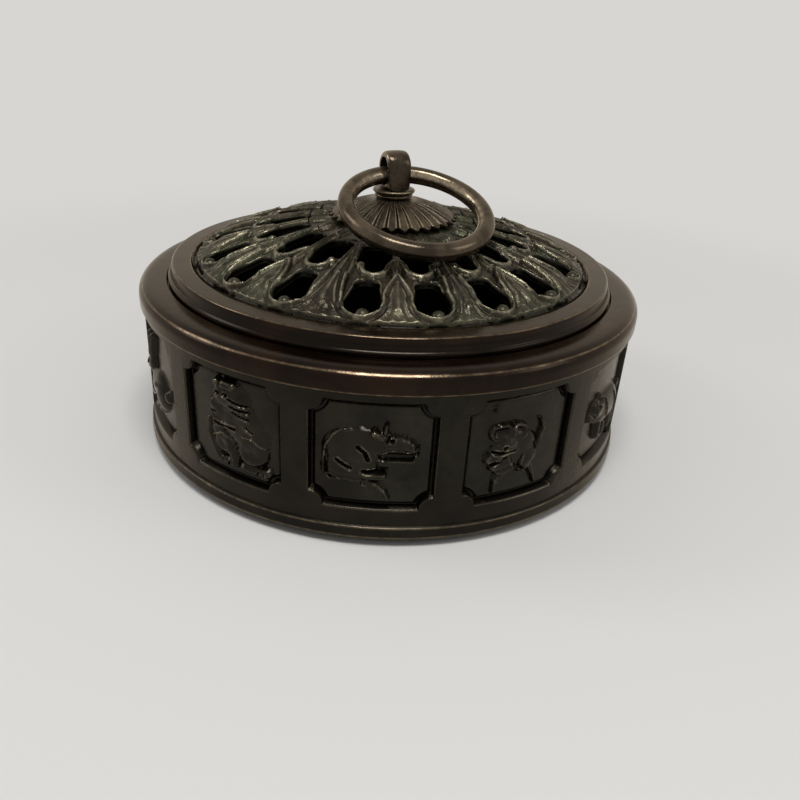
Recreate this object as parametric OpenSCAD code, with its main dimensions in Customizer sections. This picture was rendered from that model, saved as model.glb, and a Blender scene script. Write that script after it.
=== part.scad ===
// Round bronze incense burner: bowl with twelve sunk animal panels, lid with a radiating openwork,
// fluted boss, and a loose ring in a riveted eye. Millimetres, standing on z = 0, front towards -Y.

/* [Bowl] */
// Largest diameter, at the rolled shoulder
shoulder_d = 150; // [140:0.5:165]
// How far the shoulder stands out past the wall
shoulder_out = 1; // [0.6:0.1:2]
// Height of the shoulder above the wall
shoulder_h = 5.4; // [4.8:0.1:8]
// Radius of the shoulder's round edge
shoulder_round = 4.6; // [2:0.1:4.7]
// Thickness of the wall
wall_t = 3.6; // [3.2:0.1:6]
// Height of the wall between foot and shoulder
wall_h = 37.2; // [36:0.1:60]
// Height of the foot ring
foot_h = 6; // [5:0.1:10]
// Width of the flat that the foot stands on
foot_flat_w = 4; // [2:0.1:8]
// How far the foot draws in from its widest line to that flat
foot_draw = 5; // [2:0.1:8]
// Thickness of the bowl's floor
floor_t = 3; // [2:0.1:4]

/* [Panels] */
// Width of a panel, straight across
panel_w = 31.4; // [27:0.1:33]
// Height of a panel
panel_h = 28.8; // [26:0.1:31]
// Height of the panels' lower edges above the foot
panel_low = 5.4; // [3:0.1:7]
// Depth that a panel is sunk into the wall
panel_sink = 2; // [1.4:0.1:2.4]
// Thickness of a plaque's ground behind its figure
plaque_t = 0.7; // [0.4:0.1:1]
// Clearance round and behind a plaque in its recess
plaque_gap = 0.1; // [0.05:0.01:0.3]
// Height of the figures above their ground
relief_h = 1.5; // [0.6:0.1:1.8]
// Bearing of the front panel's middle, in degrees
front_panel_at = -1.5; // [-15:0.5:15]

/* [Lid] */
// Width of the shoulder that shows outside the lid
shoulder_w = 8; // [7.2:0.1:12]
// How far the lid's side draws in towards its top
lid_draw = 1.2; // [0.3:0.1:2]
// Width of the flat rim round the pierced field
lid_rim_w = 6.1; // [4:0.1:9]
// Height of the lid's side above the shoulder
lid_side_h = 4.6; // [3.5:0.1:8]
// Depth of the rebate in the shoulder that the lid sits in
rebate_depth = 1.6; // [1:0.1:2.4]
// Clearance round the lid in its rebate, on the radius
lid_gap = 0.4; // [0.2:0.05:1]
// Depth of the flange that centres the lid
flange_depth = 5; // [3:0.1:8]
// Thickness of that flange
flange_t = 2.4; // [1.6:0.1:3]
// Width of the ledge that the lid sits on
seat_w = 3.2; // [2:0.1:4]

/* [Openwork] */
// Radius of the dome that the field is part of
dome_r = 147; // [120:1:220]
// Thickness of the dome
dome_t = 3.2; // [2.4:0.1:4]
// Number of slots round the field
slots = 18; // [14:1:20]
// Bearing of the slot next to the front, in degrees
first_slot_at = -8.5; // [-20:0.5:20]
// Width of a slot at its round outer end
slot_w = 8.8; // [6:0.1:9.4]
// Length of a slot
slot_l = 12.6; // [10:0.1:14]
// Height of the stems, beads and scrolls over the dome
ornament_h = 1.1; // [0.6:0.1:1.4]
// Diameter of the bead in each slot
bead_d = 4.2; // [3:0.1:5]

/* [Boss and eye] */
// Diameter of the boss over its petal tips
boss_d = 38.6; // [32:0.1:40]
// Height of the boss
boss_h = 6.6; // [5:0.1:8]
// Number of petals round the boss
petals = 32; // [24:1:40]
// Diameter of the collar under the eye
collar_d = 12.6; // [11:0.1:14]
// Height of the collar
collar_h = 2.4; // [2:0.1:4]
// Width of the strap that the eye is bent from
strap_w = 7; // [5:0.1:8]
// Thickness of that strap
strap_t = 1.8; // [1.2:0.1:2.4]
// Height of the eye over its collar
eye_h = 10.8; // [10.4:0.1:14]
// Diameter of the eye's shank
shank_d = 4; // [3:0.1:5]
// Running clearance round the shank, on the radius
shank_gap = 0.05; // [0.02:0.01:0.1]
// Bearing that the ring leans towards, in degrees
eye_at = 21; // [-90:1:90]

/* [Ring] */
// Outer diameter of the ring
ring_d = 44.2; // [40:0.1:48]
// Thickness of the ring's round bar
bar_d = 5; // [4.6:0.1:5.1]
// Clearance between the resting ring and the lid's ornament
ring_gap = 0.35; // [0.3:0.05:1]

/* [Hidden] */
$fn = 96;
eps = 0.01;
// How far a cutter runs past what it cuts
cut = 1;
ANIMALS = ["rat", "ox", "tiger", "rabbit", "dragon", "snake", "horse", "goat", "monkey", "rooster", "dog", "pig"];

bronze = [0.22, 0.17, 0.13];
dark_bronze = [0.13, 0.11, 0.09];
patina = [0.27, 0.29, 0.23];
worn_bronze = [0.36, 0.28, 0.21];

// Radii of the bowl
shoulder_r = shoulder_d / 2;
wall_r = shoulder_r - shoulder_out;
bowl_r = wall_r - wall_t;
foot_flat_r = shoulder_r - foot_draw;
foot_in_r = foot_flat_r - foot_flat_w;
recess_r = wall_r - panel_sink;
plaque_r = recess_r + plaque_gap;
ground_r = plaque_r + plaque_t;
foot_edge_r = 2.6;
foot_edge_z = 2.9;
foot_lip = 0.8;

// Heights of the bowl
wall_top = foot_h + wall_h;
shoulder_top = wall_top + shoulder_h;
panel_z = foot_h + panel_low + panel_h / 2;
seat_z = shoulder_top - rebate_depth;

// Lid
rebate_r = shoulder_r - shoulder_w;
lid_r = rebate_r - lid_gap;
lid_top = shoulder_top + lid_side_h;
lid_top_r = lid_r - lid_draw;
mouth_r = rebate_r - seat_w;
mouth_chamfer = [3, 1.4];
flange_r = mouth_r - lid_gap;
field_r = lid_top_r - lid_rim_w;
lid_edge = 0.5;

// Dome: height of its surface above the table at radius r, and its slope there
dome_centre = lid_top - sqrt(pow(dome_r, 2) - pow(field_r, 2));
function dome_z(r) = dome_centre + sqrt(pow(dome_r, 2) - pow(r, 2));
function dome_slope(r) = asin(r / dome_r);
slot_pitch = 360 / slots;
function slot_at(k) = first_slot_at + k * slot_pitch;

// Places along a slot, as distances from the middle of the lid
slot_border = 3.3;
slot_out_r = field_r - slot_border;
slot_in_r = slot_out_r - slot_l;
slot_in_w = 5.2;
bead_at_r = slot_out_r - 0.6;
scroll_bridge = 4.4;
scroll_at_r = slot_in_r - scroll_bridge;
scroll_r = 3.2;
scroll_bar_r = 1;
scroll_turn = 200;
inner_out_r = scroll_at_r + 2;
inner_out_w = 7.4;
inner_in_w = 4.2;

// Boss, collar and eye, from the dome upwards
boss_r = boss_d / 2;
hub_border = 5.2;
inner_in_r = boss_r + hub_border;
petal_pitch = 360 / petals;
petal_depth = 1.5;
petal_edge_t = 1.2;
flute_r = 0.8;
flute_slope = 17;
boss_bed = 1.6;
boss_bed_gap = 0.6;
boss_z = dome_z(boss_r - boss_bed);
collar_r = collar_d / 2;
collar_edge = 0.3;
boss_top = boss_z + boss_h;
collar_top = boss_top + collar_h;
shank_r = shank_d / 2;
bore_r = shank_r + shank_gap;
hub_bottom = boss_z - 5.1;
washer_t = 1.2;
washer_r = shank_r + 3.5;
hub_r = washer_r + 2.5;
rivet_h = 1.4;
rivet_r = shank_r + 1.4;
eye_play = 0.6;
eye_hole_r = bar_d / 2 + eye_play;
eye_r = eye_hole_r + strap_t;
eye_top = collar_top + eye_h;
eye_floor_t = 0.9;
pivot_z = collar_top + eye_floor_t + eye_hole_r;

// Ring: its plane droops until its far side rests on the ornament
bar_r = bar_d / 2;
ring_r = ring_d / 2 - bar_r;
rest_distance = dome_r + ornament_h + ring_gap + bar_r;
pivot_distance = pivot_z - dome_centre;
ring_droop = asin((pow(pivot_distance, 2) + pow(2 * ring_r, 2) - pow(rest_distance, 2))
    / (4 * ring_r * pivot_distance));

// Turns a piece from the front (-Y) to a bearing, positive towards +X
module bearing(angle) rotate([0, 0, angle - 90]) children();

// Revolved piece whose outline is a list of [radius, height]
module turned(outline) rotate_extrude() polygon(outline);

// Points of an arc in the plane of a turned outline
function arc(centre, r, from, to, n = 8) =
    [for (i = [0:n]) let (a = from + (to - from) * i / n) centre + r * [cos(a), sin(a)]];

module foot_ring() {
    color(dark_bronze) turned(concat(
        [[foot_in_r, 0], [foot_flat_r, 0]],
        arc([shoulder_r - foot_edge_r, foot_edge_z], foot_edge_r, -35, 12, 5),
        [[shoulder_r - foot_lip + 0.5, foot_h - 0.5], [shoulder_r - foot_lip, foot_h], [foot_in_r, foot_h]]));
}

module base_plate() {
    color(dark_bronze) translate([0, 0, foot_h - floor_t]) cylinder(r = foot_in_r, h = floor_t);
}

// Outline of a panel with a square notch at each corner
notch = 2.6;
module panel_outline(w, h) {
    square([w, h - 2 * notch], center = true);
    square([w - 2 * notch, h], center = true);
}

module panel_recess() {
    translate([wall_r / 2, 0, panel_z]) rotate([90, 0, 90]) linear_extrude(wall_r) panel_outline(panel_w, panel_h);
}
function panel_at(k) = front_panel_at + 30 * (1 - k);

module bowl_wall() {
    color(dark_bronze) difference() {
        translate([0, 0, foot_h]) cylinder(r = wall_r, h = wall_h);
        translate([0, 0, foot_h - cut]) cylinder(r = bowl_r, h = wall_h + 2 * cut);
        difference() {
            for (k = [0:11]) bearing(panel_at(k)) panel_recess();
            cylinder(r = recess_r, h = wall_top);
        }
    }
}

module shoulder_rim() {
    color(bronze) turned(concat(
        [[mouth_r + mouth_chamfer[0], wall_top], [shoulder_r, wall_top]],
        arc([shoulder_r - shoulder_round, shoulder_top - shoulder_round], shoulder_round, 0, 90),
        [[rebate_r, shoulder_top], [rebate_r, seat_z], [mouth_r, seat_z],
            [mouth_r, wall_top + mouth_chamfer[1]]]));
}

// A figure is a list of tapering lobes: [x, y, radius, x, y, radius, height], x to the right and y up
// from the middle of a panel of the size below, height as a share of relief_h.
drawing = [31.4, 28.8];
FIGURES = [
    // rat
    [[-1, -3, 6, 3, -4, 5.4, 0.9], [4, -2, 4.6, 6, -5, 4, 0.8], [-4, 1, 3.8, -6, 2, 3, 1], [-6, 2, 2.8, -10, 0, 1, 0.9],
     [-3.4, 5.4, 1.9, -3, 4.6, 1.9, 1], [-6, 5.2, 1.5, -5.6, 4.6, 1.5, 0.9], [8, -6, 1.2, 12, 1, 0.7, 0.6],
     [12, 1, 0.7, 10, 6, 0.5, 0.5], [-5, -6, 1.3, -7.4, -8.4, 0.9, 0.7], [3, -8, 1.5, -1, -9, 1.2, 0.8]],
    // ox
    [[-8.6, 0.6, 5.4, -3.6, 1.2, 6, 1], [-9.6, -2, 3.8, -6, -3, 3.6, 0.9], [-1.6, 1.8, 4.4, 1, 3.6, 3.2, 0.95],
     [3.8, 3.6, 3.2, 9.4, 1.8, 1.9, 1], [3.2, 6.4, 1.1, 3.4, 9, 0.6, 0.9], [5.6, 6, 1.3, 7.6, 6.8, 0.7, 0.8],
     [-1.8, -1.4, 2, -0.6, -5.4, 1.6, 0.9], [-0.6, -5.4, 1.5, 4, -7.8, 1, 0.8], [-9, -4.6, 1.7, -2.6, -6.8, 1.2, 0.8],
     [-12, 1, 0.9, -12.2, -5, 0.7, 0.6]],
    // tiger
    [[-2, 5.6, 4.6, -1.4, 4.6, 4.6, 1], [-5.4, 9.6, 1.5, -5, 8.8, 1.5, 0.9], [1.6, 9.4, 1.5, 1.2, 8.8, 1.5, 0.9],
     [-1, 0, 4.6, 1.6, -3, 5.2, 0.85], [3, 1, 4, 6.4, -4.4, 4.2, 0.8], [-4.4, -3.6, 3, -4.4, -6, 2.6, 1],
     [5.2, -5.4, 3.4, 6.6, -7.6, 2.6, 1], [-4.8, -9, 2, -3.6, -9.2, 2, 0.9], [3.6, -9.6, 1.9, 6, -9.8, 1.9, 0.9],
     [-2.4, 3.4, 1.8, -2.2, 3, 1.8, 1], [9, -7, 1, 11, 1, 0.8, 0.6]],
    // rabbit
    [[2, -3.6, 5.6, -1, -3.4, 5, 0.9], [5, -5.6, 4.2, 4.6, -5, 4.2, 1], [-5, 1.2, 3.4, -6.4, 0.6, 2.6, 1],
     [-4, 4, 1.4, -1, 11, 1.1, 0.9], [-6, 4, 1.3, -4.6, 11, 1, 0.8], [-4, -7, 1.5, -6.6, -8.8, 1.2, 0.8],
     [4, -9, 1.7, -0.6, -9.4, 1.3, 0.8], [10, -3.4, 1.8, 9.6, -3, 1.6, 0.8]],
    // dragon
    [[-8, 4, 3, -5, 6, 2.6, 1], [-8.6, 3.2, 2.4, -11.6, 1.6, 1.3, 1], [-6, 7.6, 1, -2, 10.4, 0.6, 0.9],
     [-4, 5, 2.6, 0, 1, 2.8, 0.9], [0, 1, 2.8, 5, 2.4, 2.8, 0.9], [5, 2.4, 2.7, 7.4, -2.4, 2.5, 0.9],
     [7.4, -2.4, 2.4, 2.4, -6, 2, 0.9], [2.4, -6, 2, -4, -6.4, 1.4, 0.8], [-4, -6.4, 1.3, -9, -4, 0.6, 0.7],
     [-3, 2, 1.2, -7, -2, 0.9, 0.7], [6, -1, 1.2, 11, -5, 0.9, 0.7], [3, 5, 1, 8, 8.6, 0.7, 0.6]],
    // snake
    [[-7, 5, 2.4, -9.4, 4.4, 1.6, 1], [-6, 5, 1.8, -1, 6, 1.8, 0.9], [-1, 6, 1.8, 5, 3.6, 1.9, 0.9],
     [5, 3.6, 1.9, 7, -0.4, 2, 0.9], [7, -0.4, 2, 1, -2, 2.2, 0.9], [1, -2, 2.2, -6, -3, 2.2, 0.9],
     [-6, -3, 2.2, -4.4, -7.4, 2, 0.9], [-4.4, -7.4, 2, 4, -8, 1.6, 0.8], [4, -8, 1.5, 11, -5, 0.6, 0.7]],
    // horse
    [[-4, 0, 3.8, 4, 0, 3.8, 1], [-6, 2, 2.6, -8, 6.6, 1.9, 0.9], [-8, 7, 1.9, -11.4, 4.4, 1.1, 1],
     [-5.6, 5, 1.2, -7, 8.6, 0.8, 0.7], [-5, -3, 1.3, -6.4, -10, 0.8, 0.8], [-2.4, -3, 1.3, -2.8, -10, 0.8, 0.8],
     [3.4, -3, 1.5, 2.6, -10, 0.8, 0.8], [6, -2, 1.6, 7, -10, 0.8, 0.8], [7.4, 1.4, 1.2, 10.4, -5, 0.9, 0.7]],
    // goat
    [[-3, -1, 4.2, 5, -1.4, 4.2, 1], [-6, 2, 2.2, -8.4, 4.4, 2, 0.9], [-8.4, 4.4, 1.9, -11, 2.4, 1.1, 1],
     [-7.4, 6.4, 1, -3, 9.4, 0.9, 0.9], [-3, 9.4, 0.8, -2, 6.4, 0.6, 0.8], [-9.6, 1, 0.8, -10, -1.6, 0.5, 0.7],
     [-4, -5, 1.2, -4.4, -10, 0.8, 0.8], [-1, -5, 1.2, -0.6, -10, 0.8, 0.8], [5, -5, 1.3, 4.4, -10, 0.8, 0.8],
     [7.6, -4, 1.2, 8, -10, 0.8, 0.8]],
    // monkey
    [[0, -2, 4.4, 1, -4.4, 4.8, 0.9], [-1, 5.4, 3.6, -1.4, 4.8, 3.6, 1], [-4.8, 5.6, 1.3, -4.6, 5.2, 1.3, 0.8],
     [2.8, 5.6, 1.3, 2.6, 5.2, 1.3, 0.8], [-3.6, 0, 1.6, -7, -3, 1.4, 0.9], [-7, -3, 1.3, -5, -1, 1.2, 0.8],
     [4, 0, 1.6, 7, 3.6, 1.3, 0.9], [-3, -6, 2.2, -5.4, -8.4, 1.6, 1], [4, -6, 2.2, 5.8, -8.6, 1.6, 1],
     [6, -5, 0.9, 10.4, -1, 0.7, 0.6]],
    // rooster
    [[0, -1, 4.4, 3, -1.4, 3.8, 1], [-3.4, 2.4, 2.2, -6, 6, 1.8, 0.9], [-7.6, 6, 0.9, -9.6, 5.2, 0.4, 0.9],
     [-6, 8, 1.2, -4.6, 8.4, 0.9, 0.8], [-7, 3.8, 0.8, -7, 2.8, 0.6, 0.7], [5, 1, 1.8, 9.4, 7, 1, 0.9],
     [5, -1, 1.7, 10.8, 3, 0.9, 0.8], [0, -5, 0.9, -1, -10, 0.6, 0.8], [3, -5, 0.9, 3, -10, 0.6, 0.8],
     [1.4, -0.6, 2.6, 4.4, -2, 1.6, 1]],
    // dog
    [[2, -3, 4.6, 4, -5.4, 4.4, 0.9], [-1, 1, 3.6, -2, 3, 3, 0.9], [-4, 5.4, 3, -5, 5, 2.8, 1],
     [-6, 4.4, 2, -9.6, 3.2, 1.2, 1], [-2.4, 8, 1.2, -1.4, 4.4, 1.1, 0.8], [-3, -2, 1.6, -4.6, -9.6, 1.1, 0.9],
     [4, -9, 1.7, -0.4, -9.8, 1.2, 0.9], [8, -6, 1.1, 11, -0.4, 0.8, 0.7]],
    // pig
    [[-3, -1, 5, 4, -1, 5, 1], [-7, 0.6, 3.2, -8, 0.4, 2.8, 1], [-9.4, -0.4, 1.6, -11, -0.8, 1.4, 1],
     [-6, 3.6, 1.4, -5, 2, 1.2, 0.8], [-5, -5, 1.4, -5, -8.8, 1, 0.8], [-1.6, -6, 1.3, -1.6, -8.8, 1, 0.8],
     [4, -5, 1.5, 4, -8.8, 1, 0.8], [7, -4, 1.5, 7.2, -8.8, 1, 0.8], [9, 1, 0.6, 11, 2.4, 0.5, 0.6]]];

// Height of one lobe at a point: a half-round ridge between its two ends, its radius tapering
function lobe(f, x, y) = let (
        run = [f[3] - f[0], f[4] - f[1]],
        t = max(0, min(1, ((x - f[0]) * run[0] + (y - f[1]) * run[1]) / max(eps, run * run))),
        gap = norm([x, y] - [f[0], f[1]] - t * run),
        share = gap / (f[2] + (f[5] - f[2]) * t))
    share < 1 ? f[6] * sqrt(1 - share * share) : 0;
function relief(figure, x, y) = relief_h
    * max([for (f = figure) lobe(f, x * drawing[0] / panel_w, y * drawing[1] / panel_h)]);

// A plaque is a curved plate whose front follows the relief, on a grid with its corners notched
columns = 24;
rows = 22;
corner = 2;
plaque_w = panel_w - 2 * plaque_gap;
plaque_h = panel_h - 2 * plaque_gap;
function grid_x(i) = i <= corner ? -plaque_w / 2 + notch * i / corner
    : i >= columns - corner ? plaque_w / 2 - notch * (columns - i) / corner
    : -plaque_w / 2 + notch + (plaque_w - 2 * notch) * (i - corner) / (columns - 2 * corner);
function grid_y(j) = j <= corner ? -plaque_h / 2 + notch * j / corner
    : j >= rows - corner ? plaque_h / 2 - notch * (rows - j) / corner
    : -plaque_h / 2 + notch + (plaque_h - 2 * notch) * (j - corner) / (rows - 2 * corner);
function on_wall(r, i, j) = [sqrt(r * r - pow(grid_x(i), 2)), grid_x(i), panel_z + grid_y(j)];
function front(i, j) = i * (rows + 1) + j;
function back(i, j) = (columns + 1) * (rows + 1) + front(i, j);
function cell_inset(i) = i < corner || i >= columns - corner ? corner : 0;

// Faces: front triangles, back strips, and the flat sides column by column and step by step
function plaque_faces() = concat(
    [for (i = [0:columns - 1], j = [cell_inset(i):rows - 1 - cell_inset(i)]) each [
        [front(i, j), front(i, j + 1), front(i + 1, j + 1)],
        [front(i, j), front(i + 1, j + 1), front(i + 1, j)]]],
    [for (i = [0:columns - 1]) let (lo = cell_inset(i), hi = rows - lo) i == corner
        ? [back(i + 1, lo), back(i + 1, hi), back(i, hi), back(i, rows - corner), back(i, corner), back(i, lo)]
        : concat([back(i, lo), back(i + 1, lo)],
            i == columns - corner - 1 ? [back(i + 1, corner), back(i + 1, rows - corner)] : [],
            [back(i + 1, hi), back(i, hi)])],
    [for (i = [0:columns - 1]) let (lo = cell_inset(i)) [front(i, lo), front(i + 1, lo), back(i + 1, lo), back(i, lo)]],
    [for (i = [0:columns - 1]) let (hi = rows - cell_inset(i))
        [front(i + 1, hi), front(i, hi), back(i, hi), back(i + 1, hi)]],
    [for (s = [[0, corner, rows - corner], [corner, 0, corner], [corner, rows - corner, rows]])
        concat([back(s[0], s[1]), back(s[0], s[2])], [for (j = [s[2]:-1:s[1]]) front(s[0], j)])],
    [for (s = [[columns, corner, rows - corner], [columns - corner, 0, corner], [columns - corner, rows - corner, rows]])
        concat([back(s[0], s[2]), back(s[0], s[1])], [for (j = [s[1]:s[2]]) front(s[0], j)])]);

module plaque(k) {
    color(dark_bronze) bearing(panel_at(k)) polyhedron(
        points = concat(
            [for (i = [0:columns], j = [0:rows])
                on_wall(ground_r + relief(FIGURES[k], grid_x(i), grid_y(j)), i, j)],
            [for (i = [0:columns], j = [0:rows]) on_wall(plaque_r, i, j)]),
        faces = plaque_faces(), convexity = 6);
}

module lid_frame() {
    color(bronze) turned([
        [flange_r - flange_t, seat_z], [lid_r, seat_z], [lid_r, shoulder_top + lid_edge],
        [lid_top_r, lid_top - lid_edge], [lid_top_r - lid_edge, lid_top], [field_r, lid_top],
        [field_r, lid_top - dome_t]]);
}

module lid_flange() {
    color(bronze) translate([0, 0, seat_z - flange_depth]) difference() {
        cylinder(r = flange_r, h = flange_depth);
        translate([0, 0, -cut]) cylinder(r = flange_r - flange_t, h = flange_depth + 2 * cut);
    }
}

// Part of the dome between two heights over its surface, out to the frame
module dome_shell(under, over) {
    intersection() {
        difference() {
            translate([0, 0, dome_centre]) sphere(r = dome_r + over);
            translate([0, 0, dome_centre]) sphere(r = dome_r - under);
        }
        translate([0, 0, lid_top - dome_t]) cylinder(r = field_r, h = dome_r);
    }
}

// Plan of one slot: straight sides that part outwards, and a round outer end
module slot_plan() {
    end_r = slot_w / 2;
    translate([slot_out_r - end_r, 0]) circle(r = end_r);
    polygon([[slot_in_r, -slot_in_w / 2], [slot_in_r, slot_in_w / 2], [slot_out_r - end_r, end_r],
        [slot_out_r - end_r, -end_r]]);
}

// Plan of the opening between the scroll and the boss
module inner_plan() {
    end_r = inner_out_w / 2;
    translate([inner_out_r - end_r, 0]) circle(r = end_r);
    polygon([[inner_in_r, -inner_in_w / 2], [inner_in_r, inner_in_w / 2], [inner_out_r - end_r, end_r],
        [inner_out_r - end_r, -end_r]]);
}

// Plan of a stem, flaring at its foot to meet its neighbours' arms. Every second one is a short stem
// under a slim shaft that carries the scrolls.
module stem_plan(short) {
    foot_r = field_r - 0.8;
    flare = 2 * foot_r * sin(slot_pitch / 2) - slot_w / 2 - 1.4;
    upper = short ? [[inner_in_r - 2, 0.9], [scroll_at_r, 1.2], [slot_in_r - 2.4, 0.8], [slot_in_r - 1, 1.8]]
        : [[inner_in_r - 2, 0.9], [inner_in_r + 5.5, 1.5], [scroll_at_r - 3, 2.3], [slot_in_r, 2.9]];
    side = concat(upper, [[slot_out_r - 5, 3.3], [foot_r - 3.4, 3.9], [foot_r - 1, flare / 2], [foot_r, flare / 2]]);
    polygon(concat(side, [for (i = [len(side) - 1:-1:0]) [side[i][0], -side[i][1]]]));
}

// C-shaped scroll cup that bridges two stems, open towards the boss
module scroll() {
    translate([scroll_at_r, 0, dome_z(scroll_at_r) + ornament_h - scroll_bar_r]) rotate([0, dome_slope(scroll_at_r), 0])
        rotate_extrude(angle = scroll_turn, start = -scroll_turn / 2) translate([scroll_r, 0]) circle(r = scroll_bar_r);
}

module bead() {
    translate([bead_at_r, 0, dome_z(bead_at_r) + ornament_h - bead_d / 2]) sphere(d = bead_d);
}

module lid_openwork() {
    color(patina) difference() {
        union() {
            difference() {
                dome_shell(dome_t, 0);
                for (k = [0:slots - 1]) bearing(slot_at(k)) linear_extrude(lid_top + dome_r) slot_plan();
                for (k = [0:slots - 1]) bearing(slot_at(k)) linear_extrude(lid_top + dome_r) inner_plan();
            }
            intersection() {
                dome_shell(dome_t / 2, ornament_h * 0.8);
                for (k = [0:slots - 1]) bearing(slot_at(k + 0.5)) linear_extrude(lid_top + dome_r) stem_plan(k % 2 == 0);
            }
            translate([0, 0, hub_bottom]) cylinder(r = hub_r, h = boss_z - hub_bottom);
            for (k = [0:slots - 1]) bearing(slot_at(k)) scroll();
            for (k = [0:slots - 1]) bearing(slot_at(k)) bead();
        }
        translate([0, 0, boss_z]) cylinder(r = boss_r + boss_bed_gap, h = boss_h);
        cylinder(r = bore_r, h = eye_top);
    }
}

// Plan of the boss: a zigzag edge of pointed petals
module petal_plan() {
    polygon([for (k = [0:2 * petals - 1]) let (a = k * petal_pitch / 2, r = boss_r - (k % 2) * petal_depth)
        [r * cos(a), r * sin(a)]]);
}

module boss() {
    rise = boss_h - petal_edge_t;
    crown = (pow(boss_r, 2) + pow(rise, 2)) / (2 * rise);
    flat_top = 0.45;
    color(patina) translate([0, 0, boss_z]) difference() {
        intersection() {
            linear_extrude(boss_h) petal_plan();
            translate([0, 0, boss_h - crown + flat_top]) sphere(r = crown);
        }
        translate([0, 0, -cut]) cylinder(r = bore_r, h = boss_h + 2 * cut);
        for (k = [0:petals - 1]) rotate([0, 0, (k + 0.5) * petal_pitch]) translate([boss_r, 0, petal_edge_t])
            rotate([0, flute_slope - 90, 0]) cylinder(r1 = flute_r, r2 = 0.3, h = boss_r - collar_r - cut);
    }
}

module collar() {
    step = collar_h / 2;
    color(bronze) translate([0, 0, boss_top]) turned([
        [bore_r, 0], [collar_r - 1, 0], [collar_r - 0.6, step - collar_edge], [collar_r - 1, step],
        [collar_r, step + collar_edge], [collar_r, collar_h - collar_edge], [collar_r - collar_edge, collar_h],
        [bore_r, collar_h]]);
}

module ring_eye() {
    top_centre = eye_top - eye_r;
    color(bronze) {
        bearing(eye_at) translate([0, strap_w / 2, 0]) rotate([90, 0, 0]) linear_extrude(strap_w) difference() {
            union() {
                translate([0, top_centre]) circle(r = eye_r);
                translate([-eye_r, collar_top]) square([2 * eye_r, top_centre - collar_top]);
            }
            translate([0, top_centre]) circle(r = eye_hole_r);
            translate([-eye_hole_r, pivot_z]) square([2 * eye_hole_r, top_centre - pivot_z]);
            translate([0, pivot_z]) circle(r = eye_hole_r);
        }
        translate([0, 0, hub_bottom - washer_t]) cylinder(r = shank_r, h = collar_top + eye_floor_t / 2 - hub_bottom + washer_t);
        translate([0, 0, hub_bottom - washer_t - rivet_h]) cylinder(r1 = rivet_r - 1, r2 = rivet_r, h = rivet_h);
    }
}

module eye_washer() {
    color(bronze) translate([0, 0, hub_bottom - washer_t]) difference() {
        cylinder(r = washer_r, h = washer_t);
        translate([0, 0, -cut]) cylinder(r = shank_r, h = washer_t + 2 * cut);
    }
}

module ring() {
    color(worn_bronze) translate([0, 0, pivot_z]) bearing(eye_at) rotate([0, ring_droop, 0])
        translate([ring_r, 0, 0]) rotate_extrude() translate([ring_r, 0]) circle(r = bar_r);
}

foot_ring();
base_plate();
bowl_wall();
shoulder_rim();
for (k = [0:11]) plaque(k);
lid_frame();
lid_openwork();
lid_flange();
boss();
collar();
ring_eye();
eye_washer();
ring();
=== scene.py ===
import math

import bmesh
import bpy
import numpy as np
from mathutils import Matrix


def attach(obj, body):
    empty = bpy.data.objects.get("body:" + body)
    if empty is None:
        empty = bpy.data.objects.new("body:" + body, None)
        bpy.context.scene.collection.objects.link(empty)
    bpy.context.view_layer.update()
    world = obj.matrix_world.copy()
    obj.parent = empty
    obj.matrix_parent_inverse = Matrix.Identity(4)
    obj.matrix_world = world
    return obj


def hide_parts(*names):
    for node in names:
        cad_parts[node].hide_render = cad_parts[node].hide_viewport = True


# Bronze incense burner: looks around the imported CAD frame. Shapes are worked out in millimetres.
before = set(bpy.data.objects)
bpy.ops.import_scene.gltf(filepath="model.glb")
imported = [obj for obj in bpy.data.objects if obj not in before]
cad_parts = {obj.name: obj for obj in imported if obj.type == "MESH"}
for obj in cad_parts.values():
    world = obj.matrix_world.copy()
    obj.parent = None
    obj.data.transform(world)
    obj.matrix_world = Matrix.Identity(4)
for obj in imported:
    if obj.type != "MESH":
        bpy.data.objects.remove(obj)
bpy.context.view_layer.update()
print("frame loaded:", len(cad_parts), "nodes")
mm = 0.001
weldGap = 2e-7


def gridQuads(rows, columns, closeRows=False, closeColumns=False):
    # quad (i, j) joins points (i, j), (i, j+1), (i+1, j+1), (i+1, j); a closed side wraps to its start
    i = np.arange(rows if closeRows else rows - 1)[:, None]
    j = np.arange(columns if closeColumns else columns - 1)[None, :]
    nextI, nextJ = (i + 1) % rows, (j + 1) % columns
    corners = [(i, j), (i, nextJ), (nextI, nextJ), (nextI, j)]
    return np.stack([row * columns + column for row, column in corners], -1).reshape(-1, 4)


def closeSheet(points, quads, back):
    # sheet + its copy at the back turned round + one quad under each edge that only one face uses
    count = len(points)
    edges = np.stack([quads, np.roll(quads, -1, 1)], -1).reshape(-1, 2)
    key = np.sort(edges, 1) @ np.array([count, 1])
    _, first, uses = np.unique(key, return_index=True, return_counts=True)
    rim = edges[first[uses == 1]]
    sides = np.stack([rim[:, 1], rim[:, 0], rim[:, 0] + count, rim[:, 1] + count], -1)
    return np.concatenate([points, back]), np.concatenate([quads, quads[:, ::-1] + count, sides])


def weld(points, quads, places):
    # points that agree to some decimals become one point
    _, first, inverse = np.unique(np.round(points, places), axis=0, return_index=True, return_inverse=True)
    return first, inverse.reshape(-1)[quads]


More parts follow.
